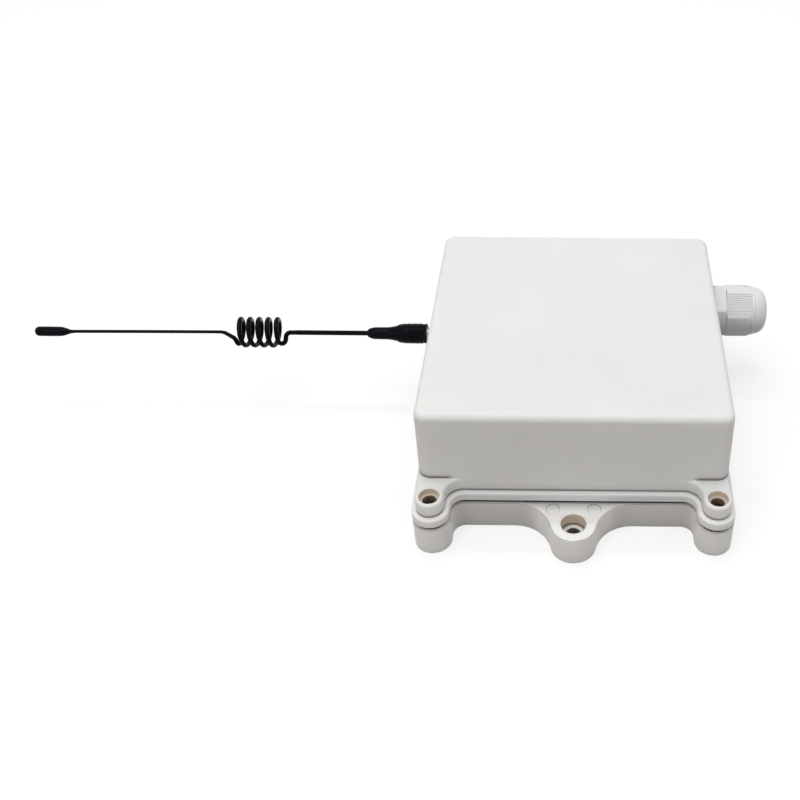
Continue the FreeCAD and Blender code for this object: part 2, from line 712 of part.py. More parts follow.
sketch = new_sketch(housing, "boss_recesses", "XY", boss_top)
draw_circles(sketch, corner_places(boss_across, boss_along), boss_recess_width / 2)
add_pocket(housing, sketch, boss_recess_depth)
sketch = new_sketch(housing, "boss_bores", "XY", boss_top)
draw_circles(sketch, corner_places(boss_across, boss_along), boss_bore / 2)
add_pocket(housing, sketch, boss_height)
sketch = new_sketch(housing, "insert_holes", "XY", seam_height)
draw_circles(sketch, corner_places(boss_across, boss_along), insert_width / 2)
add_pocket(housing, sketch, insert_length, forward=True)

sketch = new_sketch(housing, "posts", "XY", ceiling_height - post_height)
draw_circles(sketch, corner_places(post_across, post_along), post_width / 2)
add_pad(housing, sketch, post_height + ceiling_thickness / 2)
sketch = new_sketch(housing, "post_holes", "XY", ceiling_height - post_height)
draw_circles(sketch, corner_places(post_across, post_along), board_screw_width / 2)
add_pocket(housing, sketch, board_screw_length - board_thickness + screw_spare, forward=True)


def seat_outside(seat):
    """Where a flat seat of this diameter cuts the leaning wall, measured from the middle."""
    return wall_across(port_level + seat / 2) - seat_depth


def add_port(name, side, place, seat, wall, hole):
    """Flat seats inside and outside the side wall and the hole between them."""
    outside = seat_outside(seat) * side
    inside = (seat_outside(seat) - wall) * side
    sketch = new_sketch(housing, name + "_pad", "YZ", inside)
    draw_circles(sketch, [(place, port_level)], seat / 2)
    add_pad(housing, sketch, wall - port_pad_gap, back=side < 0)
    sketch = new_sketch(housing, name + "_seat", "YZ", outside)
    draw_circles(sketch, [(place, port_level)], seat / 2)
    add_pocket(housing, sketch, wall, forward=side > 0)
    sketch = new_sketch(housing, name + "_hole", "YZ", inside)
    draw_circles(sketch, [(place, port_level)], hole)
    add_pocket(housing, sketch, wall, forward=side > 0)


add_port("gland", 1, gland_place, gland_seat, gland_wall, gland_thread / 2 + gland_hole_slack)
add_port("antenna", -1, antenna_place, antenna_seat, antenna_wall, jack_thread / 2 + gland_hole_slack)
keep(housing)

# Gasket: a moulded rubber ring pressed up into the housing's groove
gasket = new_body("gasket")
sketch = new_sketch(gasket, "ring", "XY", seam_height + groove_depth - gasket_height)
draw_outline(sketch, rounded_outline(
    rim_across - groove_inset, rim_along - groove_inset, tongue_radius + groove_slack))
draw_outline(sketch, rounded_outline(
    rim_across - groove_back, rim_along - groove_back, tongue_radius - tongue_width - groove_slack))
add_pad(gasket, sketch, gasket_height)
keep(gasket)

# Cover screws: pan heads under the base, threaded up into the inserts
screw_seat = screw_seat_depth
screw_crown = screw_head_height * 0.4
screw_tip = screw_width * 0.15
screw = turned_body("cover_screw_form", straight_profile([
    (screw_seat - screw_head_height, 0),
    (screw_seat + screw_length, 0),
    (screw_seat + screw_length, screw_width / 2 - screw_tip),
    (screw_seat + screw_length - screw_tip, screw_width / 2),
    (screw_seat, screw_width / 2),
    (screw_seat, screw_head_width / 2),
    (screw_seat - screw_head_height + screw_crown, screw_head_width / 2),
    (screw_seat - screw_head_height, screw_head_width / 2 - screw_crown),
]), axis="V_Axis")
place_body(screw, boss_across, boss_along, 0)
keep(mirror_four("cover_screws", screw))

# Brass inserts: pressed into the housing bosses from below
insert = turned_body("insert_form", straight_profile([
    (seam_height, screw_width / 2 + thread_slack),
    (seam_height + insert_length, screw_width / 2 + thread_slack),
    (seam_height + insert_length, insert_width / 2),
    (seam_height, insert_width / 2),
]), axis="V_Axis")
place_body(insert, boss_across, boss_along, 0)
keep(mirror_four("brass_inserts", insert))

# Cable gland: all its pieces are turned about one axis, measured outwards from the wall's seat
gland_across = seat_outside(gland_seat)


def place_gland(piece, turned=None):
    if turned is not None:
        piece.Placement = FreeCAD.Placement(Vector(0, 0, 0), FreeCAD.Rotation(Vector(1, 0, 0), turned.value))
        piece.setExpression(".Placement.Rotation.Angle", turned.text)
    place_body(piece, gland_across, gland_place, port_level)


gland_washer = turned_body("gland_washer", straight_profile([
    (0, gland_thread / 2),
    (gland_washer_thick, gland_thread / 2),
    (gland_washer_thick, gland_washer_width / 2),
    (0, gland_washer_width / 2),
]))
place_gland(gland_washer)
keep(gland_washer)

gland_shoulder = gland_washer_thick + gland_hex_length
claw_root = gland_shoulder + gland_neck_length
claw_end = claw_root + gland_claws
gland_body = turned_body("gland_body", straight_profile([
    (-gland_wall - gland_tail, gland_bore / 2),
    (claw_root - gland_neck_length / 2, gland_bore / 2),
    (claw_root, gland_claw_inside / 2),
    (claw_end, gland_claw_inside / 2),
    (claw_end, gland_claw_inside / 2 + (gland_neck - gland_claw_inside) / 4),
    (claw_root, gland_neck / 2),
    (gland_washer_thick, gland_neck / 2),
    (gland_washer_thick, gland_thread / 2),
    (-gland_wall - gland_tail, gland_thread / 2),
]))
sketch = new_sketch(gland_body, "hexagon", "YZ", gland_washer_thick)
draw_outline(sketch, hexagon_outline(gland_body_flats))
draw_circles(sketch, [(0, 0)], gland_bore / 2)
add_pad(gland_body, sketch, gland_hex_length)
claw_count = 12
claw_slot = gland_claw_inside / 10
slot_inside = gland_claw_inside / 4
slot_outside = gland_neck * 0.6
sketch = new_sketch(gland_body, "claw_slot", "YZ", claw_root)
draw_outline(sketch, straight_profile([
    (-claw_slot / 2, slot_inside),
    (claw_slot / 2, slot_inside),
    (claw_slot / 2, slot_outside),
    (-claw_slot / 2, slot_outside),
]))
slot = add_pocket(gland_body, sketch, gland_claws + 1, forward=True)
slots = gland_body.newObject("PartDesign::PolarPattern", "gland_body_slots")
slots.Originals = [slot]
slots.Axis = (sketch, ["N_Axis"])
slots.Angle = 360
slots.Occurrences = claw_count
gland_body.Tip = slots
place_gland(gland_body, turned=gland_body_turned)
keep(gland_body)

gland_locknut = new_body("gland_locknut")
sketch = new_sketch(gland_locknut, "hexagon", "YZ", -gland_wall)
draw_outline(sketch, hexagon_outline(gland_nut_flats))
draw_circles(sketch, [(0, 0)], gland_thread / 2)
add_pad(gland_locknut, sketch, gland_nut_thick, back=True)
place_gland(gland_locknut)
keep(gland_locknut)

seal_start = claw_root + seal_gap
seal_lip = seal_length / 4
gland_seal = turned_body("gland_seal", straight_profile([
    (seal_start, seal_bore / 2),
    (seal_start + seal_length, seal_bore / 2),
    (seal_start + seal_length, gland_mouth / 2 - seal_slack),
    (seal_start + seal_length - seal_lip, gland_claw_inside / 2 - seal_slack),
    (seal_start, gland_claw_inside / 2 - seal_slack),
]))
place_gland(gland_seal)
keep(gland_seal)

# Gland cap: a domed hexagon nut with grip grooves on every second flat
cap_start = gland_shoulder + gland_cap_gap
cap_corner = cap_start + gland_cap_length
dome_start = cap_corner + gland_collar
cap_end = dome_start + gland_dome
cap_inside = gland_neck / 2 + seal_slack
dome_run = gland_dome - gland_dome_rim
dome_rise = (gland_dome_width - gland_mouth) / 2 - gland_lip
dome_round = (dome_run * dome_run + dome_rise * dome_rise) / (dome_rise * 2)
gland_cap = turned_body("gland_cap", (
    [
        (cap_start, cap_inside),
        (cap_corner, cap_inside),
        (cap_end - gland_dome * 0.3, gland_mouth / 2),
        (cap_end, gland_mouth / 2),
        (cap_end, gland_mouth / 2 + gland_lip),
        (cap_end - dome_run, gland_dome_width / 2),
        (cap_start, gland_dome_width / 2),
    ],
    [STRAIGHT, STRAIGHT, STRAIGHT, STRAIGHT, (dome_round, LEFT), STRAIGHT, STRAIGHT]))
sketch = new_sketch(gland_cap, "hexagon", "YZ", cap_start)
draw_outline(sketch, hexagon_outline(gland_flats))
draw_circles(sketch, [(0, 0)], cap_inside)
add_pad(gland_cap, sketch, gland_cap_length)
cap_bevel = gland_flats * 0.13
corner_reach = gland_flats / math.sqrt(3)
past_corner = gland_flats * 0.62
past_end = cap_corner + 0.01
sketch = new_sketch(gland_cap, "bevel", "XZ")
draw_outline(sketch, straight_profile([
    (cap_corner - cap_bevel * 1.2, past_corner),
    (cap_corner - cap_bevel, corner_reach),
    (past_end, gland_dome_width / 2),
    (past_end, past_corner),
]))
bevel = gland_cap.newObject("PartDesign::Groove", "gland_cap_bevel")
bevel.Profile = sketch
bevel.ReferenceAxis = (sketch, ["H_Axis"])
bevel.Angle = 360
grip_count = 11
ribbed_count = 3
flat_height = gland_flats / 2
sketch = new_sketch(gland_cap, "grip", "YZ", cap_start)
first_grip = grip_spacing * -(grip_count - 1) / 2
draw_outline(sketch, straight_profile([
    (first_grip - grip_width / 2, flat_height - grip_depth),
    (first_grip + grip_width / 2, flat_height - grip_depth),
    (first_grip + grip_width / 2, flat_height + grip_depth),
    (first_grip - grip_width / 2, flat_height + grip_depth),
]))
grip = add_pocket(gland_cap, sketch, gland_cap_length, forward=True)
grips = gland_cap.newObject("PartDesign::MultiTransform", "gland_cap_grips")
grips.Originals = [grip]
across_flat = doc.addObject("PartDesign::LinearPattern", "grips_across")
across_flat.Direction = (sketch, ["H_Axis"])
across_flat.setExpression("Length", (grip_spacing * (grip_count - 1)).text)
across_flat.Occurrences = grip_count
round_flats = doc.addObject("PartDesign::PolarPattern", "grips_round")
round_flats.Axis = (sketch, ["N_Axis"])
round_flats.Angle = 240
round_flats.Occurrences = ribbed_count
gland_cap.addObject(across_flat)
gland_cap.addObject(round_flats)
grips.Transformations = [across_flat, round_flats]
gland_cap.Tip = grips
place_gland(gland_cap, turned=gland_cap_turned)
keep(gland_cap)

# Antenna socket: a threaded brass bulkhead socket with its washer, nut, core and contact.
# The antenna pieces are drawn along +X from the wall and turned to face -X.
antenna_across = -seat_outside(antenna_seat)
HALF_TURN = FreeCAD.Rotation(Vector(0, 0, 1), 180)


def place_antenna(piece):
    piece.Placement = FreeCAD.Placement(Vector(0, 0, 0), HALF_TURN)
    place_body(piece, antenna_across, antenna_place, port_level)
    keep(piece)


jack_back = -antenna_wall - jack_hex_thick
jack_tail_end = jack_back - jack_tail_length
core_start = jack_back + jack_back_wall
core_end = jack_reach - core_recess
jack = turned_body("antenna_jack", straight_profile([
    (jack_tail_end, lead_width / 2),
    (core_start, lead_width / 2),
    (core_start, jack_core_width / 2),
    (jack_reach, jack_core_width / 2),
    (jack_reach, jack_thread / 2),
    (jack_back, jack_thread / 2),
    (jack_back, jack_tail_width / 2),
    (jack_tail_end, jack_tail_width / 2),
]))
sketch = new_sketch(jack, "hexagon", "YZ", jack_back)
draw_outline(sketch, hexagon_outline(jack_hex_flats))
draw_circles(sketch, [(0, 0)], (jack_core_width + jack_thread) / 4)
add_pad(jack, sketch, jack_hex_thick)
place_antenna(jack)

place_antenna(turned_body("jack_core", straight_profile([
    (core_start, jack_contact_width / 2),
    (core_end, jack_contact_width / 2),
    (core_end, jack_core_width / 2),
    (core_start, jack_core_width / 2),
])))
contact_start = jack_reach - contact_bore_depth
place_antenna(turned_body("jack_contact", straight_profile([
    (core_start, 0),
    (contact_start, 0),
    (contact_start, contact_bore / 2),
    (core_end, contact_bore / 2),
    (core_end, jack_contact_width / 2),
    (core_start, jack_contact_width / 2),
])))
place_antenna(turned_body("jack_washer", straight_profile([
    (0, jack_thread / 2),
    (jack_washer_thick, jack_thread / 2),
    (jack_washer_thick, jack_washer_width / 2),
    (0, jack_washer_width / 2),
])))
jack_nut = new_body("jack_nut")
sketch = new_sketch(jack_nut, "hexagon", "YZ", jack_washer_thick)
draw_outline(sketch, hexagon_outline(jack_nut_flats, turned=20))
draw_circles(sketch, [(0, 0)], jack_thread / 2)
add_pad(jack_nut, sketch, jack_nut_thick)
place_antenna(jack_nut)

# Antenna plug: the pin and its disc draw straight out while the rest turns
disc_start = jack_reach + plug_slack
disc_end = disc_start + plug_disc_thick
socket_inside = jack_thread / 2 + thread_slack
place_antenna(turned_body("plug_pin", straight_profile([
    (jack_reach - plug_pin_reach, 0),
    (disc_end, 0),
    (disc_end, plug_pin_width / 2),
    (jack_reach - plug_pin_reach + plug_pin_width / 4, plug_pin_width / 2),
    (jack_reach - plug_pin_reach, plug_pin_width / 4),
])))
place_antenna(turned_body("plug_disc", straight_profile([
    (disc_start, plug_pin_width / 2),
    (disc_end, plug_pin_width / 2),
    (disc_end, socket_inside - thread_slack),
    (disc_start, socket_inside - thread_slack),
])))
socket_start = boot_start + coupling_inset
socket_end = disc_end + socket_floor
place_antenna(turned_body("antenna_coupling", straight_profile([
    (socket_start, socket_inside),
    (disc_end, socket_inside),
    (disc_end, 0),
    (socket_end, 0),
    (socket_end, socket_width / 2),
    (socket_start, socket_width / 2),
])))

# Rubber boot: moulded over the coupling and the foot of the whip
flare_start = boot_start + boot_grip
neck_start = flare_start + boot_flare
nose_start = neck_start + boot_neck
boot_end = nose_start + boot_nose
sleeve_start = boot_end - sleeve_overlap
nose_rise = boot_neck_radius - sleeve_width / 2
nose_bulge = (boot_nose * boot_nose + nose_rise * nose_rise) / (nose_rise * 2)
boot = turned_body("antenna_boot", (
    [
        (boot_start, socket_width / 2),
        (socket_end, socket_width / 2),
        (socket_end, coil_wire / 2),
        (sleeve_start, coil_wire / 2),
        (sleeve_start, sleeve_width / 2),
        (boot_end, sleeve_width / 2),
        (nose_start, boot_neck_radius),
        (neck_start, boot_neck_radius),
        (flare_start, boot_radius),
        (boot_start, boot_radius),
    ],
    [STRAIGHT] * 5 + [(nose_bulge, LEFT)] + [STRAIGHT] * 4))
place_antenna(boot)


def arc_from(start, direction, finish):
    """Middle point and radius of the arc that leaves a point in a direction and ends at another."""
    chord = finish - start
    toward = (chord - direction * chord.dot(direction)).normalize()
    radius = chord.dot(chord) / (2 * chord.dot(toward))
    middle = start + toward * radius
    half_way = ((start - middle) + (finish - middle)).normalize()
    return middle + half_way * radius, radius


def wire_path(stations):
    """Smooth edges through stations, each a point with its direction: straight runs and pairs of arcs."""
    edges = []
    radii = []
    for (start, leave), (finish, arrive) in zip(stations, stations[1:]):
        chord = finish - start
        if chord.cross(leave).Length < 1e-6 and chord.cross(arrive).Length < 1e-6:
            edges.append(Part.LineSegment(start, finish).toShape())
            continue
        spread = 2 * (1 - leave.dot(arrive))
        along = chord.dot(leave + arrive)
        if spread < 1e-9:
            reach = chord.dot(chord) / (2 * along)
        else:
            reach = (math.sqrt(along ** 2 + spread * chord.dot(chord)) - along) / spread
        joint = (start + finish + (leave - arrive) * reach) * 0.5
        early, early_radius = arc_from(start, leave, joint)
        late, late_radius = arc_from(finish, arrive * -1, joint)
        edges.append(Part.Arc(start, early, joint).toShape())
        edges.append(Part.Arc(joint, late, finish).toShape())
        radii += [early_radius, late_radius]
    return Part.Wire(edges), min(radii)


def wire_tube(stations, width):
    """Round wire of one width through the stations."""
    path, tightest = wire_path(stations)
    start, direction = stations[0]
    ring = Part.Wire(Part.Circle(start, direction, width / 2).toShape())
    tube = path.makePipeShell([ring], True, False)
    print("wire of", width, "mm: length", round(path.Length, 2), "tightest bend", round(tightest, 2),
          "volume ratio", round(tube.Volume / (math.pi * width ** 2 / 4 * path.Length), 4))
    return tube, path


def add_shape(name, shape):
    """Sub-part whose shape no sketched feature can make."""
    feature = doc.addObject("Part::Feature", name)
    feature.Shape = shape
    return feature


# Whip: a wire that leaves the boot, bends out to the loading coil, winds it and bends back to the axis.
# The coil is cut in quarter turns of a helix, each drawn as a pair of arcs.
coil_radius = (coil_width.value - coil_wire.value) / 2
coil_begin = math.radians(coil_angle.value)
bend = coil_bend.value
bend_foot = math.sqrt((coil_radius - bend) ** 2 - bend ** 2)
bend_turn = math.atan2(bend, bend_foot)
quarters = 4 * int(coil_turns.value)
coil_sweep = 2 * math.pi * int(coil_turns.value) - 2 * bend_turn
forward = Vector(1, 0, 0)


def radial(angle):
    """Unit direction across the whip at an angle, in the drawn frame."""
    return Vector(0, math.cos(angle), math.sin(angle))


def coil_station(share):
    """Point and direction of the coil after a share of its sweep."""
    angle = coil_begin + bend_turn + coil_sweep * share
    climb = coil_pitch.value / (2 * math.pi)
    place = forward * (coil_start.value + climb * coil_sweep * share) + radial(angle) * coil_radius
    heading = radial(angle + math.pi / 2) * coil_radius + forward * climb
    return place, heading.normalize()


outward = radial(coil_begin)
drop_along = coil_start.value - coil_lead.value
coil_stations = [
    (forward * socket_end.value, forward),
    (forward * (drop_along - bend), forward),
    (forward * drop_along + outward * bend, outward),
    (forward * drop_along + outward * bend_foot, outward),
]
coil_stations += [coil_station(quarter / quarters) for quarter in range(quarters + 1)]
coil_tube, coil_path = wire_tube(coil_stations, coil_wire.value)

coil_finish = coil_station(1)[0].x
axis_meet = coil_finish + coil_exit.value
slant = (forward * coil_exit.value - outward * coil_radius).normalize()
slant_foot = forward * (axis_meet - coil_exit.value * bend_foot / coil_radius) + outward * bend_foot
tip_start = tip_end - tip_length
rod_inside = tip_start + tip_taper + tip_bore_depth * 0.5
rod_stations = [
    coil_station(1),
    (slant_foot, slant),
    (forward * axis_meet - slant * rod_bend.value, slant),
    (forward * (axis_meet + rod_bend.value), forward),
    (forward * rod_inside.value, forward),
]
rod_tube = wire_tube(rod_stations, rod_wire.value)[0]


def least_gap(path, width, apart):
    """Smallest distance between stretches of a wire that lie well apart along it, less its width."""
    points = path.discretize(Number=600)
    step = path.Length / 599
    skip = int(apart / step)
    least = math.inf
    for index, point in enumerate(points):
        for other in points[index + skip:]:
            least = min(least, point.distanceToPoint(other))
    return least - width


print("least gap of the coil to itself:", round(least_gap(coil_path, coil_wire.value, 6.0), 2), "mm")
place_antenna(add_shape("whip_coil", coil_tube))
place_antenna(add_shape("whip_rod", rod_tube))

sleeve_end = coil_start - coil_lead - coil_bend - sleeve_gap
place_antenna(turned_body("whip_sleeve", straight_profile([
    (sleeve_start, coil_wire / 2),
    (sleeve_end, coil_wire / 2),
    (sleeve_end, sleeve_width / 2),
    (sleeve_start, sleeve_width / 2),
])))

tip_nose = tip_radius * 0.85
place_antenna(turned_body("whip_tip", (
    [
        (tip_start, rod_wire / 2),
        (rod_inside, rod_wire / 2),
        (rod_inside, 0),
        (tip_end, 0),
        (tip_end, tip_radius - tip_nose),
        (tip_end - tip_nose, tip_radius),
        (tip_start + tip_taper, tip_radius),
        (tip_start, rod_wire / 2 + tip_rim),
    ],
    [STRAIGHT] * 4 + [(tip_nose, LEFT)] + [STRAIGHT] * 3)))

# Circuit board, screwed up to the housing's posts with its parts hanging below it
board_blank = add_box("board_blank", (-board_across, -board_along, board_low),
                      (board_across * 2, board_along * 2, board_thickness))
board_hole = add_cylinder("board_hole", board_screw_width / 2 + small_slack, board_thickness * 3,
                          (post_across, post_along, board_low - board_thickness))
keep(add_cut("circuit_board", board_blank, [mirror_four("board_holes", board_hole)]))

board_screw = turned_body("board_screw_form", straight_profile([
    (board_low - board_screw_head_height, 0),
    (board_low + board_screw_length, 0),
    (board_low + board_screw_length, board_screw_width / 4),
    (board_low + board_screw_length - board_screw_width / 2, board_screw_width / 2),
    (board_low, board_screw_width / 2),
    (board_low, board_screw_head / 2),
    (board_low - board_screw_head_height * 0.5, board_screw_head / 2),
    (board_low - board_screw_head_height, board_screw_head * 0.3),
]), axis="V_Axis")
place_body(board_screw, post_across, post_along, 0)
keep(mirror_four("board_screws", board_screw))

# Terminal block: wire entries face the gland, clamp screws face down
terminal_length = terminal_pitch * terminal_ways
terminal_x = board_across - terminal_from_edge - terminal_width
terminal_low = board_low - terminal_height
block = add_box("terminal_blank", (terminal_x, -terminal_length / 2, terminal_low),
                (terminal_width, terminal_length, terminal_height))
entries = []
screws = []
screw_deep = terminal_height / 4
for way in range(int(terminal_ways.value)):
    middle = terminal_pitch * (way + 0.5) - terminal_length / 2
    entries.append(add_box("terminal_entry_%d" % way, (
        terminal_x + terminal_width * 0.4, middle - terminal_wire_hole / 2, terminal_low + screw_deep * 1.3),
        (terminal_width, terminal_wire_hole, terminal_wire_hole)))
    entries.append(add_cylinder("terminal_well_%d" % way, terminal_screw_width / 2 + small_slack, screw_deep,
                                (terminal_x + terminal_width / 2, middle, terminal_low)))
    screws.append(add_cylinder("terminal_screw_%d" % way, terminal_screw_width / 2, screw_deep * 0.8,
                               (terminal_x + terminal_width / 2, middle, terminal_low + screw_deep * 0.2)))
keep(add_cut("terminal_block", block, entries))
keep(add_group("terminal_screws", screws))

# Power supply block, smoothing capacitors, control chip and crystal
keep(add_box("power_supply", (supply_place - board_across, front_clearance - board_along, board_low - supply_height),
             (supply_length, supply_width, supply_height)))

capacitors = []
for number in range(2):
    capacitors.append(add_cylinder("capacitor_%d" % number, capacitor_width / 2, capacitor_height, (
        capacitor_place - board_across,
        front_clearance + capacitor_width / 2 + capacitor_spacing * number - board_along,
        board_low - capacitor_height)))
keep(add_group("capacitors", capacitors))

keep(add_box("control_chip", (chip_place - board_across, chip_back, board_low - chip_height),
             (chip_length, chip_width, chip_height)))
crystal = new_body("crystal")
sketch = new_sketch(crystal, "outline", "XY", board_low - crystal_height)
draw_outline(sketch, rounded_outline(crystal_length / 2, crystal_width / 2, crystal_width / 2 - 0.1))
add_pad(crystal, sketch, crystal_height)
place_body(crystal, chip_place + crystal_length / 2 - board_across, chip_back + chip_width + crystal_width, 0)
keep(crystal)

# Status light and learn switch, at the rear of the board
light_dome = light_width / 2
light = turned_body("status_light", (
    [
        (board_low, 0),
        (board_low, light_width * 0.58),
        (board_low - light_width * 0.2, light_width * 0.58),
        (board_low - light_width * 0.2, light_width / 2),
        (board_low - light_height + light_dome, light_width / 2),
        (board_low - light_height, 0),
    ][::-1],
    [(light_dome, RIGHT)] + [STRAIGHT] * 5), axis="V_Axis")
place_body(light, board_across - light_place, board_along - rear_clearance, 0)
keep(light)

switch_x = board_across - switch_place
switch_y = board_along - rear_clearance
switch_low = board_low - switch_height
switch_blank = add_box("switch_blank", (switch_x - switch_side / 2, switch_y - switch_side / 2, switch_low),
                       (switch_side, switch_side, switch_height))
switch_well = add_cylinder("switch_well", plunger_width / 2 + plunger_slack, plunger_depth + plunger_travel + plunger_slack,
                           (switch_x, switch_y, switch_low))
keep(add_cut("learn_switch", switch_blank, [switch_well]))
keep(add_cylinder("learn_plunger", plunger_width / 2, plunger_reach + plunger_depth,
                  (switch_x, switch_y, switch_low - plunger_reach)))

# Radio module: a small upright board with a shield, joined to the antenna socket by its lead
radio_x = radio_place - board_across
radio_y = antenna_place - lead_shift
keep(add_box("radio_module", (radio_x, radio_y - radio_length / 2, board_low - radio_height),
             (radio_thickness, radio_length, radio_height)))
keep(add_box("radio_shield", (
    radio_x + radio_thickness, radio_y - shield_length / 2,
    board_low - (radio_height + shield_height) / 2),
    (shield_thickness, shield_length, shield_height)))


def lead_tube():
    """Antenna lead: straight out of the socket, one step aside in two arcs, then into the module."""
    level = port_level.value
    start = antenna_across.value - core_start.value
    finish = radio_x.value
    sleeve = antenna_across.value - jack_tail_end.value
    run = (finish - sleeve) / 3
    route = [
        Vector(start, antenna_place.value, level),
        Vector(sleeve + run, antenna_place.value, level),
        Vector(sleeve + 2 * run, radio_y.value, level),
        Vector(finish, radio_y.value, level),
    ]
    reach = run * 0.45
    middle = (route[2] - route[1]).normalize()
    stations = [
        (route[0], forward),
        (route[1] - forward * reach, forward),
        (route[1] + middle * reach, middle),
        (route[2] - middle * reach, middle),
        (route[2] + forward * reach, forward),
        (route[3], forward),
    ]
    return wire_tube(stations, lead_width.value)[0]


keep(add_shape("antenna_lead", lead_tube()))

doc.recompute()
faults = []
for thing in doc.Objects:
    if "Invalid" in thing.State or "Error" in thing.State:
        faults.append("%s: %s" % (thing.Name, thing.State))
for node in nodes:
    if node.Shape.isNull() or not node.Shape.isValid() or node.Shape.Volume <= 0:
        faults.append(node.Label + ": no sound shape")
if faults:
    raise RuntimeError("the model is not sound: " + "; ".join(faults))

os.makedirs("parts", exist_ok=True)
for node in nodes:
    node.Shape.exportStep("parts/" + node.Label + ".step")
    print(node.Label, len(node.Shape.Solids), "solids", round(node.Shape.Volume, 1), "mm3")
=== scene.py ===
from math import atan2, cos, pi, radians, sin, sqrt

import bpy
from mathutils import Matrix, Vector


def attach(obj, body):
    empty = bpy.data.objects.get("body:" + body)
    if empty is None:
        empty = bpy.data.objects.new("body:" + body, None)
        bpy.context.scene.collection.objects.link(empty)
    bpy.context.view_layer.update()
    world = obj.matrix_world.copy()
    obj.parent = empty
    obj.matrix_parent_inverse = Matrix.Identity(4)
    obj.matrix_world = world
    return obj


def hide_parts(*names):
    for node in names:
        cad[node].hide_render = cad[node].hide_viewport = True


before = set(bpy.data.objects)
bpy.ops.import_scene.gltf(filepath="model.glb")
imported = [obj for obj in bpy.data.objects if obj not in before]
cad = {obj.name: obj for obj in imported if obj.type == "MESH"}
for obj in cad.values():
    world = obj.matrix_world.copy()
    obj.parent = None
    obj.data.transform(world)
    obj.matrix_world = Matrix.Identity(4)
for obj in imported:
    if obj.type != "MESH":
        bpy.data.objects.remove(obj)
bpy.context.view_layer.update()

mm = 0.001


# Camera and studio
# The transmitter lies on a pale table and is seen from the front and above, through a moderate
# lens whose picture is shifted to one side, so the antenna has room on the left.
camera_place = (0, -0.3131, 0.2824)
camera_tilt_down = 0.717
camera_roll = 0.009
bpy.ops.object.camera_add()
camera = bpy.context.object
camera.matrix_world = (
    Matrix.Translation(camera_place)
    @ Matrix.Rotation(pi / 2 - camera_tilt_down, 4, "X")
    @ Matrix.Rotation(camera_roll, 4, "Z")
)
camera.data.lens = 45.9
camera.data.sensor_width = 36
camera.data.shift_x = -0.21814
camera.data.clip_start = 0.01
camera.data.clip_end = 20
bpy.context.scene.camera = camera
bpy.context.scene.view_settings.view_transform = "Standard"


class Wire:
    """An output of a finish's nodes, on which sums are written as sums."""

    def __init__(self, finish, socket):
        self.finish = finish
        self.socket = socket

    def sum(self, operation, *terms):
        return self.finish.node("ShaderNodeMath", {"operation": operation}, dict(enumerate(terms)))

    def __add__(self, other):
        return self.sum("ADD", self, other)

    def __sub__(self, other):
        return self.sum("SUBTRACT", self, other)

    def __rsub__(self, other):
        return self.sum("SUBTRACT", other, self)

    def __mul__(self, other):
        return self.sum("MULTIPLY", self, other)

    def __lt__(self, other):
        return self.sum("LESS_THAN", self, other)

    def __gt__(self, other):
        return self.sum("GREATER_THAN", self, other)

    def __abs__(self):
        return self.sum("ABSOLUTE", self)


class Finish:
    """A finish built node by node: a new material's, or another node tree's. What is the same all over
    is set on the shader itself."""

    def __init__(self, name="", tree=None, **shader_values):
        if tree is None:
            self.material = bpy.data.materials.new(name)
            self.material.use_nodes = True
            tree = self.material.node_tree
            self.shader = tree.nodes["Principled BSDF"]
        self.tree = tree
        for socket, value in shader_values.items():
            self.shader.inputs[socket.replace("_", " ")].default_value = value

    def node(self, kind, settings=None, sockets=None, output=0):
        """Adds a node: its settings come first, then the values or wires of its sockets."""
        made = self.tree.nodes.new(kind)
        for setting, value in (settings or {}).items():
            setattr(made, setting, value)
        for socket, value in (sockets or {}).items():
            if isinstance(value, Wire):
                self.tree.links.new(value.socket, made.inputs[socket])
            else:
                made.inputs[socket].default_value = value
        return Wire(self, made.outputs[output])

    def give(self, socket, wire):
        """Lets a wire vary one of the shader's sockets over the surface."""
        self.tree.links.new(wire.socket, self.shader.inputs[socket])

    def place(self):
        """Where a point lies on the part, in metres."""
        return self.node("ShaderNodeTexCoord", output=3)

    def axes(self):
        apart = self.node("ShaderNodeSeparateXYZ", {}, {0: self.place()})
        return [Wire(self, apart.socket.node.outputs[axis]) for axis in range(3)]

    def noise(self, scale, detail=2.0, place=None, roughness=0.5):
        return self.node("ShaderNodeTexNoise", {}, {
            "Vector": place or self.place(), "Scale": scale, "Detail": detail, "Roughness": roughness})

    def step(self, wire, low, high, to_low=0.0, to_high=1.0):
        """A soft step from one value to another, as a wire goes from low to high."""
        return self.node("ShaderNodeMapRange", {"interpolation_type": "SMOOTHSTEP"}, {
            0: wire, 1: low, 2: high, 3: to_low, 4: to_high})

    def mix(self, share, first, second):
        """A colour between two, each a wire or plain red, green and blue."""
        colours = [(*c, 1) if isinstance(c, tuple) else c for c in (first, second)]
        return self.node("ShaderNodeMix", {"data_type": "RGBA"}, {
            0: share, 6: colours[0], 7: colours[1]}, output=2)

    def bump(self, height, distance, strength=1.0, under=None):
        sockets = {"Height": height, "Distance": distance, "Strength": strength}
        if under:
            sockets["Normal"] = under
        return self.node("ShaderNodeBump", {}, sockets)

    def mottle(self, scale, detail, first, second):
        """Lets the colour drift between two in soft clouds."""
        clouds = self.step(self.noise(scale, detail), 0.3, 0.7)
        self.give("Base Color", self.mix(clouds, first, second))

    def sheen(self, scale, detail, smooth, rough, span=(0.3, 0.75)):
        """Lets the roughness drift between two values, over this span of a noise."""
        self.give("Roughness", self.step(self.noise(scale, detail), *span, smooth, rough))

    def grain(self, scale, detail, height, strength):
        """Raises a fine grain, its height in millimetres."""
        self.give("Normal", self.bump(self.noise(scale, detail), height * mm, strength))


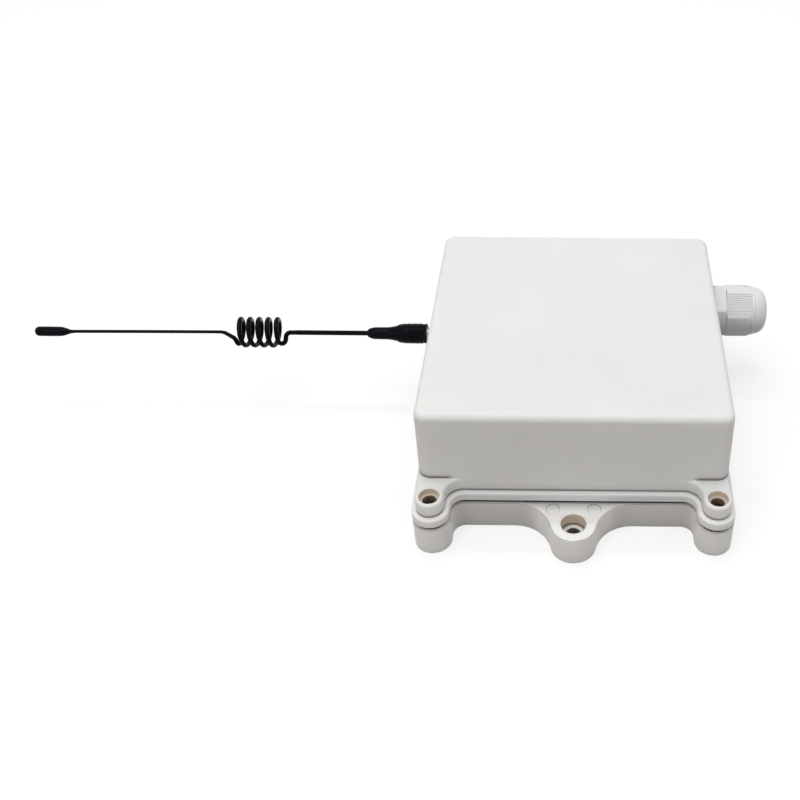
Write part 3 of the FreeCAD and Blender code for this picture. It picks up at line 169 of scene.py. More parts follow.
def looked_at(finish):
    """1 where the camera sees a surface, itself or in gloss or glass, and 0 where it only lights."""
    rays = finish.node("ShaderNodeLightPath").socket.node.outputs
    camera_ray, glossy_ray, through_ray = (
        Wire(finish, rays[name]) for name in ("Is Camera Ray", "Is Glossy Ray", "Is Transmission Ray"))
    return camera_ray + glossy_ray + through_ray


bpy.ops.object.select_all(action="DESELECT")
bpy.ops.mesh.primitive_plane_add(size=8, location=(0, 0, -0.0001))
table_top = bpy.context.object
table_top.name = "table_top"
table_top.data.transform(table_top.matrix_world)
table_top.matrix_world = Matrix.Identity(4)
table_paint = Finish("pale table")
seen = looked_at(table_paint)
table_tone = table_paint.mix(seen, (0.30, 0.272, 0.243), (1.0, 1.0, 1.0))
matt = table_paint.node("ShaderNodeBsdfDiffuse", {}, {"Color": table_tone})
bright = table_paint.node("ShaderNodeEmission", {}, {"Color": (1, 1, 1, 1), "Strength": 1.06})
shown = table_paint.node("ShaderNodeMixShader", {}, {0: seen * 0.62, 1: matt, 2: bright})
table_paint.tree.links.new(shown.socket, table_paint.tree.nodes["Material Output"].inputs["Surface"])
table_top.data.materials.append(table_paint.material)

world = bpy.data.worlds.new("studio")
world.use_nodes = True
bpy.context.scene.world = world
sky = Finish(tree=world.node_tree)
sky_tone = sky.mix(looked_at(sky), (0.60, 0.60, 0.605), (1.0, 1.0, 1.0))
sky.tree.links.new(sky_tone.socket, sky.tree.nodes["Background"].inputs["Color"])

for label, spot, aim, size, power, tint in (
        ("overhead softbox", (-0.12, -0.14, 1.15), (0, 0, 0.03), (0.65, 0.65), 3.2, (1, 1, 1)),
        ("front softbox", (-0.75, -0.95, 1.0), (0, 0, 0.03), (0.4, 0.4), 1.75, (1, 0.965, 0.92)),
        ("overhead tube", (-0.1, 0.26, 1.05), (-0.1, 0, 0.03), (0.9, 0.045), 2.0, (0.97, 0.985, 1))):
    bpy.ops.object.light_add(type="AREA", location=spot)
    lamp = bpy.context.object
    lamp.name = label
    lamp.rotation_euler = (Vector(aim) - Vector(spot)).to_track_quat("-Z", "Y").to_euler()
    lamp.data.shape = "RECTANGLE"
    lamp.data.size, lamp.data.size_y = size
    lamp.data.energy = power
    lamp.data.color = tint


# Housing and mounting base
# Both are moulded in the same pale grey ABS. The mould was spark eroded, so the skin has a very fine
# grain and a satin gloss, and light scatters a little way into the plastic.
BOSS = (50.611, 66.811)
EAR = (0, 69.411)
EJECTOR_MARK = (7.45, 62.261)

case_plastic = Finish("case plastic", IOR=1.46, Specular_IOR_Level=0.35, Subsurface_Weight=0.4,
                      Subsurface_Radius=(1, 0.82, 0.66), Subsurface_Scale=0.004)
across, along, up = case_plastic.axes()
cloudy = case_plastic.noise(16, 3, roughness=0.6)
speckle = case_plastic.noise(900, 2)
shade = case_plastic.mix(case_plastic.step(cloudy, 0.3, 0.7), (0.79, 0.785, 0.765), (0.82, 0.815, 0.80))
shade = case_plastic.mix(case_plastic.step(speckle, 0.62, 0.8) * 0.25, shade, (0.74, 0.73, 0.70))

# Painted light: round their holes the bosses and ears are painted lighter and warmer than the walls.
front_end = case_plastic.step(abs(along), 60.2 * mm, 63.8 * mm)
side_end = case_plastic.step(abs(along), 46 * mm, 70 * mm)
at_boss = front_end + case_plastic.step(abs(across), 55.5 * mm, 57 * mm) * (side_end - front_end)
boss_painted_light = at_boss * case_plastic.step(up, 20.5 * mm, 22.3 * mm, 0.8, 0.0)
shade = case_plastic.mix(boss_painted_light, shade, (0.94, 0.925, 0.885))


def from_centre(place):
    """How far a point is from the nearest of the centres mirrored about both middle lines."""
    side = abs(across) - place[0] * mm
    back = abs(along) - place[1] * mm
    return side.sum("SQRT", side * side + back * back)


def between(wire, low, high):
    """1 where a length lies between two values in millimetres, and 0 elsewhere."""
    return (wire > low * mm) * (wire < high * mm)


# Painted shade: the recesses of bosses and ears are tinted a warm shadow brown, their bores are painted
# dark, and thin dark rings are painted at the foot of the ears' recesses and round the ejector marks.
boss_hole, ear_hole, mould_mark = (from_centre(place) for place in (BOSS, EAR, EJECTOR_MARK))
recess = ((boss_hole < 3.74 * mm) * between(up, 20.1, 22.45)
          + (ear_hole < 4.64 * mm) * between(up, 6.7, 11.65))
shade = case_plastic.mix(recess * 0.7, shade, (0.62, 0.51, 0.39))
bore = (boss_hole < 2.6 * mm) * between(up, 3.9, 20.3) + (ear_hole < 2.7 * mm) * (up < 6.75 * mm)
shade = case_plastic.mix(bore * 0.9, shade, (0.11, 0.075, 0.045))
# Painted shade: thin dark rings where the steps are.
rim_shade = between(ear_hole, 4.1, 4.64) * between(up, 6.5, 7.3) * 1.4
rim_shade = rim_shade + between(mould_mark, 2.3, 2.62) * between(up, 11.3, 11.75) * 0.6
shade = case_plastic.mix(rim_shade * 0.6, shade, (0.24, 0.20, 0.16))
# The base is darker in blotches towards its foot.
foot_blotches = case_plastic.step(up, 0.6 * mm, 4.5 * mm, 0.16, 0.0) * case_plastic.noise(60, 4)
shade = case_plastic.mix(foot_blotches, shade, (0.42, 0.38, 0.33))

# Painted shade darkens the corners: at the wall's foot on the flange, over the bosses, low on the base,
# and along both lips of the open seam.
wall_foot_shade = case_plastic.step(up, 16.75 * mm, 18.2 * mm, 0.8, 0.0)
wall_foot_shade = (up > 16.72 * mm) * (wall_foot_shade + case_plastic.step(up, 16.7 * mm, 21.5 * mm, 0.2, 0.0))
over_boss_shade = case_plastic.step(up, 22.6 * mm, 24.5 * mm, 0.75, 0.0)
over_boss_shade = over_boss_shade + case_plastic.step(up, 22.6 * mm, 28 * mm, 0.27, 0.0)
over_boss_shade = over_boss_shade * case_plastic.step(abs(across), 41.5 * mm, 45.5 * mm)
over_boss_shade = over_boss_shade * (abs(along) < 58.3 * mm) * (up > 22.53 * mm)
low_wall_shade = (1 - at_boss) * (up < 11.9 * mm) * case_plastic.step(up, 0.0, 11 * mm, 0.26, 0.16)
seam_shade = between(up, 11.42, 11.66) + between(up, 12.95, 13.35) * 1.8
seam_shade = seam_shade * ((abs(along) > 59.3 * mm) + (abs(across) > 56.8 * mm) > 0.5) * 0.5
painted_shade = wall_foot_shade + over_boss_shade + low_wall_shade + seam_shade
case_plastic.give("Base Color", case_plastic.mix(painted_shade, shade, (0.16, 0.14, 0.125)))
case_plastic.sheen(30, 3, 0.38, 0.5, span=(0.25, 0.75))
grain = case_plastic.bump(case_plastic.noise(2600, 2), 0.012 * mm, 0.5)
case_plastic.give("Normal", case_plastic.bump(cloudy, 0.25 * mm, 0.12, under=grain))


def coat(finish, *names):
    """Gives CAD pieces this finish."""
    for name in names:
        cad[name].data.materials.clear()
        cad[name].data.materials.append(finish.material)


coat(case_plastic, "housing", "mounting_base")


# Cable gland
# A nylon gland in light grey: a body whose hexagon clamps a rubber washer to the wall, a clawed neck,
# and a cap with finely ribbed flats and a polished dome, which squeezes the seal round a cable.
GLAND = Matrix.Translation((55.0365 * mm, 30.5 * mm, 33 * mm)) @ Matrix.Rotation(pi / 2, 4, "Y")
CAP_TURN = Matrix.Rotation(radians(41.1), 4, "Z")
BODY_TURN = Matrix.Rotation(radians(27.3), 4, "Z")
CAP_FLATS, HEX_CORNER = 19.0, 1.1
RIBS_LOW, RIBS_HIGH = 6.9, 17.1
STRIPS = 33
TAN_30 = 0.577  # how far from a hexagon's corner its round begins, as a share of the round's radius


def begin(label, points):
    """Starts a piece as a line of points drawn in the upright plane, in edit mode."""
    bpy.ops.object.select_all(action="DESELECT")
    bpy.ops.mesh.primitive_plane_add(size=mm, location=points[0])
    piece = bpy.context.object
    piece.name = label
    bpy.ops.object.transform_apply(location=True, rotation=True, scale=True)
    bpy.ops.object.mode_set(mode="EDIT")
    bpy.ops.mesh.select_mode(type="VERT")
    bpy.ops.mesh.select_all(action="SELECT")
    bpy.ops.mesh.merge(type="CENTER")
    for here, there in zip(points, points[1:]):
        bpy.ops.mesh.extrude_region_move(TRANSFORM_OT_translate={"value": Vector(there) - Vector(here)})
    return piece


def turn_piece(label, outline, steps=64):
    """A turned piece about the upright axis, from its outline of (height, radius) in millimetres."""
    piece = begin(label, [(radius * mm, 0, height * mm) for height, radius in outline])
    bpy.ops.mesh.select_all(action="SELECT")
    bpy.ops.mesh.spin(steps=steps, angle=2 * pi, center=(0, 0, 0), axis=(0, 0, 1))
    bpy.ops.mesh.select_all(action="SELECT")
    bpy.ops.mesh.remove_doubles(threshold=0.002 * mm)
    bpy.ops.mesh.normals_make_consistent(inside=False)
    bpy.ops.object.mode_set(mode="OBJECT")
    return piece


def take(piece):
    """Makes a piece the only one selected."""
    bpy.ops.object.select_all(action="DESELECT")
    piece.select_set(True)
    bpy.context.view_layer.objects.active = piece


def apply(piece, kind, **settings):
    """Adds a modifier to a piece and applies it."""
    take(piece)
    modifier = piece.modifiers.new("shaping", kind)
    for setting, value in settings.items():
        setattr(modifier, setting, value)
    bpy.ops.object.modifier_apply(modifier=modifier.name)


def carve(piece, tool, operation="DIFFERENCE"):
    """Cuts, joins or trims a piece with a tool, which is then thrown away."""
    apply(piece, "BOOLEAN", object=tool, operation=operation, solver="EXACT")
    bpy.data.objects.remove(tool)


def join(piece, *others):
    """Joins other meshes into a piece."""
    take(piece)
    for other in others:
        other.select_set(True)
    bpy.ops.object.join()


def select_where(piece, kind, wanted):
    """Selects the faces or edges whose middle and direction pass a test."""
    bpy.ops.object.mode_set(mode="EDIT")
    bpy.ops.mesh.select_mode(type=kind)
    bpy.ops.mesh.select_all(action="DESELECT")
    bpy.ops.object.mode_set(mode="OBJECT")
    mesh = piece.data
    if kind == "FACE":
        for face in mesh.polygons:
            face.select = wanted(face.center, face.normal)
    else:
        for edge in mesh.edges:
            low, high = (mesh.vertices[v].co for v in edge.vertices)
            edge.select = wanted((low + high) / 2, (high - low).normalized())
    bpy.ops.object.mode_set(mode="EDIT")


def settle(piece, place, finish, body, *nodes, bevel=0.0, sharp=35):
    """Rounds a piece's edges, lays it at its place, gives it its finish and ties it to its body."""
    if bevel:
        apply(piece, "BEVEL", width=bevel * mm, segments=2, limit_method="ANGLE",
              angle_limit=radians(40), use_clamp_overlap=True)
    take(piece)
    piece.matrix_world = place
    bpy.ops.object.transform_apply(location=True, rotation=True, scale=True)
    bpy.ops.object.shade_smooth_by_angle(angle=radians(sharp))
    piece.data.materials.clear()
    piece.data.materials.append(finish.material)
    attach(piece, body)
    if nodes:
        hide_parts(*nodes)


def cut_at(piece, *levels):
    """Cuts new edges round a piece at these heights, in millimetres."""
    take(piece)
    for level in levels:
        bpy.ops.object.mode_set(mode="EDIT")
        bpy.ops.mesh.select_all(action="SELECT")
        bpy.ops.mesh.bisect(plane_co=(0, 0, level * mm), plane_no=(0, 0, 1))
        bpy.ops.object.mode_set(mode="OBJECT")


def add_hexagon(label, flats, low, high, corner, turned=0.0):
    """A hexagon bar with rounded corners, its top flat facing up before it is turned."""
    bpy.ops.object.select_all(action="DESELECT")
    bpy.ops.mesh.primitive_cylinder_add(
        vertices=6, radius=flats / sqrt(3) * mm, depth=(high - low) * mm,
        location=(0, 0, (low + high) / 2 * mm), rotation=(0, 0, turned))
    piece = bpy.context.object
    piece.name = label
    bpy.ops.object.transform_apply(location=True, rotation=True, scale=True)
    select_where(piece, "EDGE", lambda middle, heading: abs(heading.z) > 0.9)
    bpy.ops.mesh.bevel(offset=corner * TAN_30 * mm, segments=5, affect="EDGES")
    bpy.ops.object.mode_set(mode="OBJECT")
    return piece


def add_thread(piece, root, crest, pitch, low, high, steps=32):
    """Joins a round-crested thread to a piece: a tooth swept up a helix and closed at its ends."""
    tooth = begin("thread", [
        ((root - 0.1) * mm, 0, low * mm),
        (crest * mm, 0, (low + pitch * 0.38) * mm),
        (crest * mm, 0, (low + pitch * 0.5) * mm),
        ((root - 0.1) * mm, 0, (low + pitch * 0.88) * mm),
        ((root - 0.1) * mm, 0, low * mm)])
    bpy.ops.mesh.select_all(action="SELECT")
    bpy.ops.mesh.remove_doubles(threshold=0.002 * mm)
    bpy.ops.object.mode_set(mode="OBJECT")
    turns = int((high - low) / pitch - 0.88)
    apply(tooth, "SCREW", axis="Z", angle=2 * pi, screw_offset=pitch * mm, iterations=turns,
          steps=steps, render_steps=steps, use_merge_vertices=True, merge_threshold=0.002 * mm)
    bpy.ops.object.mode_set(mode="EDIT")
    bpy.ops.mesh.select_all(action="SELECT")
    bpy.ops.mesh.fill_holes(sides=0)
    bpy.ops.mesh.select_all(action="SELECT")
    bpy.ops.mesh.normals_make_consistent(inside=False)
    bpy.ops.object.mode_set(mode="OBJECT")
    join(piece, tooth)


nylon = Finish("grey nylon", IOR=1.5, Specular_IOR_Level=0.42)
swirl = nylon.noise(120, 3, roughness=0.6)
shade = nylon.mix(nylon.step(swirl, 0.3, 0.7), (0.745, 0.75, 0.765), (0.765, 0.77, 0.78))
# Painted shade: below the gland's axis the nylon is painted darker.
lower_shade = nylon.step(nylon.axes()[2], 29 * mm, 38 * mm, 0.5, 0.0)
nylon.give("Base Color", nylon.mix(lower_shade, shade, (0.29, 0.29, 0.30)))
nylon.sheen(160, 2, 0.24, 0.3, span=(0.25, 0.8))
nylon.grain(900, 1, 0.006, 0.2)

# The cap's hexagon: its corners are rounded, three of its flats get fine grooves, and its outer end
# is turned down to the collar. The dome is turned, and the inside is bored out for the neck.
cap = add_hexagon("cable_gland_cap", CAP_FLATS, 6.5, 17.4, HEX_CORNER)
cut_at(cap, RIBS_LOW, RIBS_HIGH)
ribbed_flats = [Vector((cos(radians(turned)), sin(radians(turned)), 0)) for turned in (180, 60, 300)]


def across_flat(point):
    """Which ribbed flat a point is on, and how far it is from that flat's middle line."""
    flat = max(ribbed_flats, key=point.dot)
    return flat, point.dot(Vector((-flat.y, flat.x, 0)))


def on_ribbed_flat(middle, normal):
    at_ribs = RIBS_LOW * mm < middle.z < RIBS_HIGH * mm
    return at_ribs and any(normal.dot(flat) > 0.999 for flat in ribbed_flats)


def across_the_ribs(middle, heading):
    flat, off_middle = across_flat(middle)
    on_surface = middle.dot(flat) > (CAP_FLATS / 2 - 0.01) * mm and abs(off_middle) < 0.01 * mm
    at_ribs = (RIBS_LOW - 0.1) * mm < middle.z < (RIBS_HIGH + 0.1) * mm
    return on_surface and at_ribs and abs(heading.z) < 0.1 and abs(heading.dot(flat)) < 0.01


# Each ribbed flat is cut into strips, and every third of them is pressed in.
select_where(cap, "EDGE", across_the_ribs)
bpy.ops.mesh.subdivide(number_cuts=STRIPS - 1, quadcorner="STRAIGHT_CUT")
bpy.ops.object.mode_set(mode="OBJECT")
half_flat = CAP_FLATS / 2 / sqrt(3) - HEX_CORNER * TAN_30
strip_width = 2 * half_flat / STRIPS * mm
select_where(cap, "FACE", lambda middle, normal: on_ribbed_flat(middle, normal) and (
    round(across_flat(middle)[1] / strip_width + STRIPS // 2) % 3 == 1))
bpy.ops.mesh.extrude_region_shrink_fatten(TRANSFORM_OT_shrink_fatten={"value": -0.25 * mm})
bpy.ops.object.mode_set(mode="OBJECT")
carve(cap, turn_piece("end_shape", [
    (6.3, 0), (6.3, 10.2), (7.1, 10.97), (14.0, 10.97), (15.6, 10.66), (16.9, 10.15), (17.4, 9.9),
    (17.4, 0)], 96), "INTERSECT")
dome_foot = [
    (16.7, 0), (16.7, 9.6), (16.85, 9.95), (17.1, 10.05), (17.8, 10.02), (18.0, 9.9), (18.1, 9.7)]
dome_curve = [
    (18.1 + 5.1 * sin(radians(turned)), 5.3 + 4.4 * cos(radians(turned))) for turned in range(8, 88, 8)]
dome_mouth = [(23.3, 5.2), (23.45, 4.95), (23.4, 4.8), (23.4, 0)]
carve(cap, turn_piece("dome", dome_foot + dome_curve + dome_mouth, 96), "UNION")
carve(cap, turn_piece("inside", [
    (6.3, 0), (6.3, 7.4), (7.1, 6.95), (17.3, 6.95), (21.8, 4.9), (23.0, 4.8), (23.6, 5.0),
    (23.6, 0)], 96))
settle(cap, GLAND @ CAP_TURN, nylon, "gland_nut", "gland_cap", sharp=32)

# The body: hexagon, threaded tail through the wall, threaded neck for the cap and twelve springy claws.
body = turn_piece("cable_gland_body", [
    (-10.8, 4.7), (8.8, 4.7), (11.3, 5.6), (16.9, 5.6), (16.9, 6.15), (11.4, 6.45), (11.3, 6.6),
    (1.3, 6.6), (1.2, 7.1), (-10.2, 7.1), (-10.8, 6.7), (-10.8, 4.7)], 96)
for claw in range(6):
    bpy.ops.object.select_all(action="DESELECT")
    bpy.ops.mesh.primitive_cube_add(
        size=mm, scale=(16, 1.0, 6.2), location=(0, 0, 14.4 * mm), rotation=(0, 0, claw * pi / 6))
    slot_cutter = bpy.context.object
    bpy.ops.object.transform_apply(location=True, rotation=True, scale=True)
    carve(body, slot_cutter)
hexagon = add_hexagon("hexagon", 20.0, 1.2, 6.3, HEX_CORNER)
carve(hexagon, turn_piece("end_shape", [
    (1.1, 0), (1.1, 10.7), (1.8, 11.5), (5.7, 11.5), (6.4, 10.7), (6.4, 0)], 96), "INTERSECT")
carve(hexagon, turn_piece("bore", [(0.8, 0), (0.8, 6.0), (6.8, 6.0), (6.8, 0)], 64))
add_thread(body, 7.1, 7.58, 1.5, -10.6, 1.2)
add_thread(body, 6.55, 6.88, 1.5, 6.5, 11.4)
join(body, hexagon)
# Painted shade: the body is painted darker below the gland's axis and next to the wall.
shaded_nylon = Finish("grey nylon at the wall", IOR=1.5, Specular_IOR_Level=0.42)
across, along, up = shaded_nylon.axes()
painted_shade = shaded_nylon.step(up, 28 * mm, 39 * mm, 0.68, 0.0) + (across < 56.9 * mm) * 0.2
painted_shade = painted_shade + shaded_nylon.noise(200, 3) * 0.04
shaded_nylon.give("Base Color", shaded_nylon.mix(painted_shade, (0.755, 0.76, 0.775), (0.2, 0.195, 0.19)))
shaded_nylon.sheen(160, 2, 0.26, 0.36, span=(0.25, 0.8))
shaded_nylon.grain(900, 1, 0.006, 0.2)
settle(body, GLAND @ BODY_TURN, shaded_nylon, "housing", "gland_body", sharp=32)

# The locknut holds the body from inside the wall: a flat hexagon with chamfered ends.
locknut = add_hexagon("cable_gland_locknut", 20.0, -8.0, -3.2, 1.2)
carve(locknut, turn_piece("end_shape", [
    (-8.1, 0), (-8.1, 10.3), (-7.2, 11.4), (-4.0, 11.4), (-3.1, 10.6), (-3.1, 0)], 96), "INTERSECT")
carve(locknut, turn_piece("bore", [
    (-8.4, 0), (-8.4, 8.4), (-7.5, 7.62), (-3.7, 7.62), (-2.8, 8.4), (-2.8, 0)], 96))
settle(locknut, GLAND, nylon, "housing", "gland_locknut", sharp=32)

rubber = Finish("black sealing rubber", IOR=1.5, Specular_IOR_Level=0.25, Roughness=0.62)
rubber.mottle(300, 4, (0.012, 0.012, 0.013), (0.024, 0.024, 0.026))
rubber.grain(1800, 3, 0.02, 0.6)
coat(rubber, "gland_washer", "gland_seal")


# Gasket
# A black rubber moulding: the flat strip that shows in the open seam, round the bosses too, a thin lip
# beside the base's tongue, and the ring in the flange's groove on which the tongue presses.
RIM, RIM_CORNER = (57.311, 59.811), 5.7
STRIP_LOW, STRIP_HIGH = 11.78, 12.95


def add_block(label, low, high, corner=0.0, segments=6):
    """A block between two corners given in millimetres, its upright edges rounded."""
    low, high = Vector(low), Vector(high)
    bpy.ops.object.select_all(action="DESELECT")
    bpy.ops.mesh.primitive_cube_add(size=mm, location=(low + high) / 2 * mm, scale=high - low)
    piece = bpy.context.object
    piece.name = label
    bpy.ops.object.transform_apply(location=True, rotation=True, scale=True)
    if corner:
        select_where(piece, "EDGE", lambda middle, heading: abs(heading.z) > 0.9)
        bpy.ops.mesh.bevel(offset=corner * mm, segments=segments, affect="EDGES")
        bpy.ops.object.mode_set(mode="OBJECT")
    return piece


def add_post(label, middle, radius, low, high, sides=48):
    """An upright round bar, in millimetres."""
    bpy.ops.object.select_all(action="DESELECT")
    bpy.ops.mesh.primitive_cylinder_add(
        vertices=sides, radius=radius * mm, depth=(high - low) * mm,
        location=(middle[0] * mm, middle[1] * mm, (low + high) / 2 * mm))
    piece = bpy.context.object
    piece.name = label
    bpy.ops.object.transform_apply(location=True, rotation=True, scale=True)
    return piece


def rim_block(label, inset, low, high):
    """A block with the plan of the base's rim, less an inset."""
    wide, deep = RIM[0] - inset, RIM[1] - inset
    return add_block(label, (-wide, -deep, low), (wide, deep, high), RIM_CORNER - inset)


strip = rim_block("housing_gasket", 0.8, STRIP_LOW, STRIP_HIGH)
quarters = ((-1, -1), (1, -1), (-1, 1), (1, 1))
for side, end in quarters:
    left, right = sorted((side * 45.4, side * 56.4))
    front, back = sorted((end * 57, end * 66.8))
    carve(strip, add_block("bridge", (left, front, STRIP_LOW), (right, back, STRIP_HIGH)), "UNION")
    carve(strip, add_post("pad", (side * BOSS[0], end * BOSS[1]), 5.9, STRIP_LOW, STRIP_HIGH), "UNION")
carve(strip, rim_block("inside", 1.15, 11.7, 13.0))
for side, end in quarters:
    carve(strip, add_post("stop", (side * BOSS[0], end * BOSS[1]), 4.46, 11.7, 13.0))
lip = rim_block("lip", 0.93, 12.9, 14.05)
carve(lip, rim_block("inside", 1.17, 12.8, 14.15))
ring = rim_block("ring", 0.9, 14.0, 15.5)
carve(ring, rim_block("inside", 3.2, 13.9, 15.6))
carve(lip, ring, "UNION")
carve(strip, lip, "UNION")
settle(strip, Matrix.Identity(4), rubber, "housing", "gasket")


# Antenna socket
# A nickel-plated brass bulkhead socket: its threaded barrel comes through the wall and takes a toothed
# washer and a hexagon nut outside, and its white core carries the contact for the antenna's pin.
WALL_X, SOCKET_Y, SOCKET_Z = -55.12925, 12.7, 33
SOCKET = (Matrix.Translation((WALL_X * mm, SOCKET_Y * mm, SOCKET_Z * mm))
          @ Matrix.Rotation(-pi / 2, 4, "Y"))


def make_metal(name, light, dark, roughness):
    """Plated metal with fine turning marks and a little tarnish."""
    metal = Finish(name, Metallic=1.0)
    stain = metal.noise(500, 4, roughness=0.65)
    metal.give("Base Color", metal.mix(metal.step(stain, 0.35, 0.75), light, dark))
    metal.give("Roughness", metal.step(stain, 0.3, 0.8, roughness, roughness + 0.16))
    metal.grain(2500, 2, 0.006, 0.5)
    return metal


gilt = make_metal("gold plate", (0.88, 0.66, 0.30), (0.72, 0.50, 0.20), 0.22)
nickel = make_metal("bright nickel plate", (0.80, 0.79, 0.76), (0.68, 0.67, 0.64), 0.2)
brass = make_metal("dull brass", (0.30, 0.22, 0.11), (0.16, 0.11, 0.055), 0.4)
steel = make_metal("zinc plated steel", (0.66, 0.66, 0.67), (0.50, 0.51, 0.53), 0.28)

jack = turn_piece("antenna_socket", [
    (-9.2, 0.9), (-9.2, 1.7), (-5.3, 1.7), (-5.2, 2.3), (10.9, 2.3), (11.2, 2.1), (11.2, 1.85),
    (-4.3, 1.85), (-4.4, 0.9), (-9.2, 0.9)], 64)
add_thread(jack, 2.3, 2.57, 0.7, 0.3, 11.1)
inner_hexagon = add_hexagon("inner_hexagon", 8.0, -5.2, -3.0, 0.5)
carve(inner_hexagon, turn_piece("bore", [(-6, 0), (-6, 2.1), (-2, 2.1), (-2, 0)]))
join(jack, inner_hexagon)
settle(jack, SOCKET, nickel, "housing", "antenna_jack")

nut = add_hexagon("antenna_socket_nut", 8.0, 0.5, 2.7, 0.35, radians(20))
carve(nut, turn_piece("end_shape", [
    (0.4, 0), (0.4, 4.3), (0.75, 4.75), (2.35, 4.75), (2.8, 4.2), (2.8, 0)]), "INTERSECT")
carve(nut, turn_piece("bore", [(0, 0), (0, 3.1), (0.9, 2.62), (2.3, 2.62), (3.2, 3.1), (3.2, 0)]))
settle(nut, SOCKET, nickel, "housing", "jack_nut")

washer = turn_piece("antenna_socket_washer", [
    (0, 2.65), (0, 4.7), (0.5, 4.7), (0.5, 2.65), (0, 2.65)], 72)
for tooth in range(12):
    turned = tooth * pi / 6
    bpy.ops.object.select_all(action="DESELECT")
    bpy.ops.mesh.primitive_cube_add(
        size=mm, scale=(1.6, 0.55, 2), rotation=(0, 0, turned),
        location=(4.5 * mm * cos(turned), 4.5 * mm * sin(turned), 0.2 * mm))
    notch = bpy.context.object
    bpy.ops.object.transform_apply(location=True, rotation=True, scale=True)
    carve(washer, notch)
settle(washer, SOCKET, nickel, "housing", "jack_washer", bevel=0.05)

ptfe = Finish("white insulator", IOR=1.4, Specular_IOR_Level=0.3, Roughness=0.5)
ptfe.mottle(700, 3, (0.78, 0.77, 0.73), (0.84, 0.83, 0.80))
ptfe.grain(2200, 2, 0.01, 0.4)
coat(ptfe, "jack_core", "plug_disc")
coat(gilt, "jack_contact", "plug_pin")
coat(nickel, "antenna_coupling")
coat(brass, "brass_inserts")


# Antenna
# A spring steel whip in black: a rubber boot over the coupling, a shrink sleeve, the loading coil
# wound from the same wire, a thinner upper rod and a moulded tip.
black_coat = Finish("black whip coating", IOR=1.5, Specular_IOR_Level=0.035)
black_coat.mottle(350, 3, (0.0026, 0.0028, 0.005), (0.0052, 0.0055, 0.0085))
black_coat.sheen(900, 3, 0.09, 0.16)
black_coat.grain(1200, 2, 0.006, 0.3)

# The whip's line, in millimetres out from the wall. It runs straight out, bends off its axis where the
# coil drops, winds five turns at an even climb, bends back and comes to the axis as the thinner rod.
# Each point of its course is how far out it is, how far off the axis, how far round, and the radius.
wire, rod = 0.94, 0.65
wire_start, wire_middle, rod_end = 12.5, 35, 160
coil_radius, coil_bend, climb = 5.3, 2.0, 3.66 / (2 * pi)
coil_begin = radians(311)
coil_start, coil_drop = 62.8, 60.95
bend_foot = sqrt((coil_radius - coil_bend) ** 2 - coil_bend ** 2)
bend_turn = atan2(coil_bend, bend_foot)
coil_sweep = 10 * pi - 2 * bend_turn
coil_end = coil_start + climb * coil_sweep
axis_meet = coil_end + 5.6


def whip_droop(along):
    """How far the whip hangs below its axis under its own weight."""
    return 0.6 * (max(along - 60, 0) / 100) ** 2


def whip_point(along, side, angle):
    """A point of the whip, from its distance out from the wall and its place round the axis."""
    height = SOCKET_Z - whip_droop(along) + side * sin(angle)
    return Vector((WALL_X - along, SOCKET_Y - side * cos(angle), height)) * mm


def bend_into_coil(share):
    """How far off the axis the bend beside the coil is at a share of it, and how far round."""
    turn = share * (pi / 2 + bend_turn)
    bend_x = bend_foot + coil_bend * sin(turn)
    bend_y = coil_bend * (1 - cos(turn))
    return sqrt(bend_x ** 2 + bend_y ** 2), atan2(bend_y, bend_x)


course = [(along, 0, coil_begin, wire) for along in (wire_start, wire_middle, coil_drop - 5)]
for step in range(1, 8):
    turn = step / 8 * pi / 2
    course.append((
        coil_drop - coil_bend * (1 - sin(turn)), coil_bend * (1 - cos(turn)), coil_begin, wire))
course.append((coil_drop, coil_bend + 0.1, coil_begin, wire))
for step in range(8):
    side, turned = bend_into_coil(step / 8)
    advance = (coil_start - coil_drop) * (step / 8) ** 1.7
    course.append((coil_drop + advance, side, coil_begin + turned, wire))
for step in range(201):
    angle = coil_sweep * step / 200
    course.append((coil_start + climb * angle, coil_radius, coil_begin + bend_turn + angle, wire))
for step in range(1, 7):
    side, turned = bend_into_coil(1 - step / 7)
    advance = 0.9 * (step / 7) ** 1.5
    course.append((coil_end + advance, side, coil_begin - turned, wire - 0.04 * step / 7))
for step in range(1, 8):
    run = step / 8
    course.append((
        coil_end + 0.9 + 4.7 * run, bend_foot * (1 - run), coil_begin, wire - 0.04 - 0.14 * run))
course += [(axis_meet + 1.2, 0, coil_begin, rod + 0.02), (axis_meet + 4, 0, coil_begin, rod)]
course += [(along, 0, coil_begin, rod) for along in range(100, rod_end, 8)]


def add_wire(label, points):
    """A round wire through points, each a place and a radius in millimetres, made a mesh."""
    path = bpy.data.curves.new(label, "CURVE")
    path.dimensions = "3D"
    path.bevel_depth = mm
    path.bevel_resolution = 4
    path.use_fill_caps = True
    line = path.splines.new("POLY")
    line.points.add(len(points) - 1)
    for point, (place, radius) in zip(line.points, points):
        point.co = (*place, 1)
        point.radius = radius
    piece = bpy.data.objects.new(label, path)
    bpy.context.scene.collection.objects.link(piece)
    take(piece)
    bpy.ops.object.convert(target="MESH")
    bpy.ops.object.shade_smooth_by_angle(angle=radians(40))
    return bpy.context.object


whip = add_wire("whip_wire", [
    (whip_point(along, side, angle), radius) for along, side, angle, radius in course])
whip.data.materials.append(black_coat.material)
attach(whip, "antenna")
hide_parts("whip_coil", "whip_rod")

sleeve = turn_piece("whip_shrink_sleeve", [
    (23.5, 0.9), (23.5, 0.975), (56.1, 0.975), (56.5, 0.96), (56.7, 0.91), (56.7, 0.9),
    (23.5, 0.9)], 32)
settle(sleeve, SOCKET, black_coat, "antenna", "whip_sleeve")

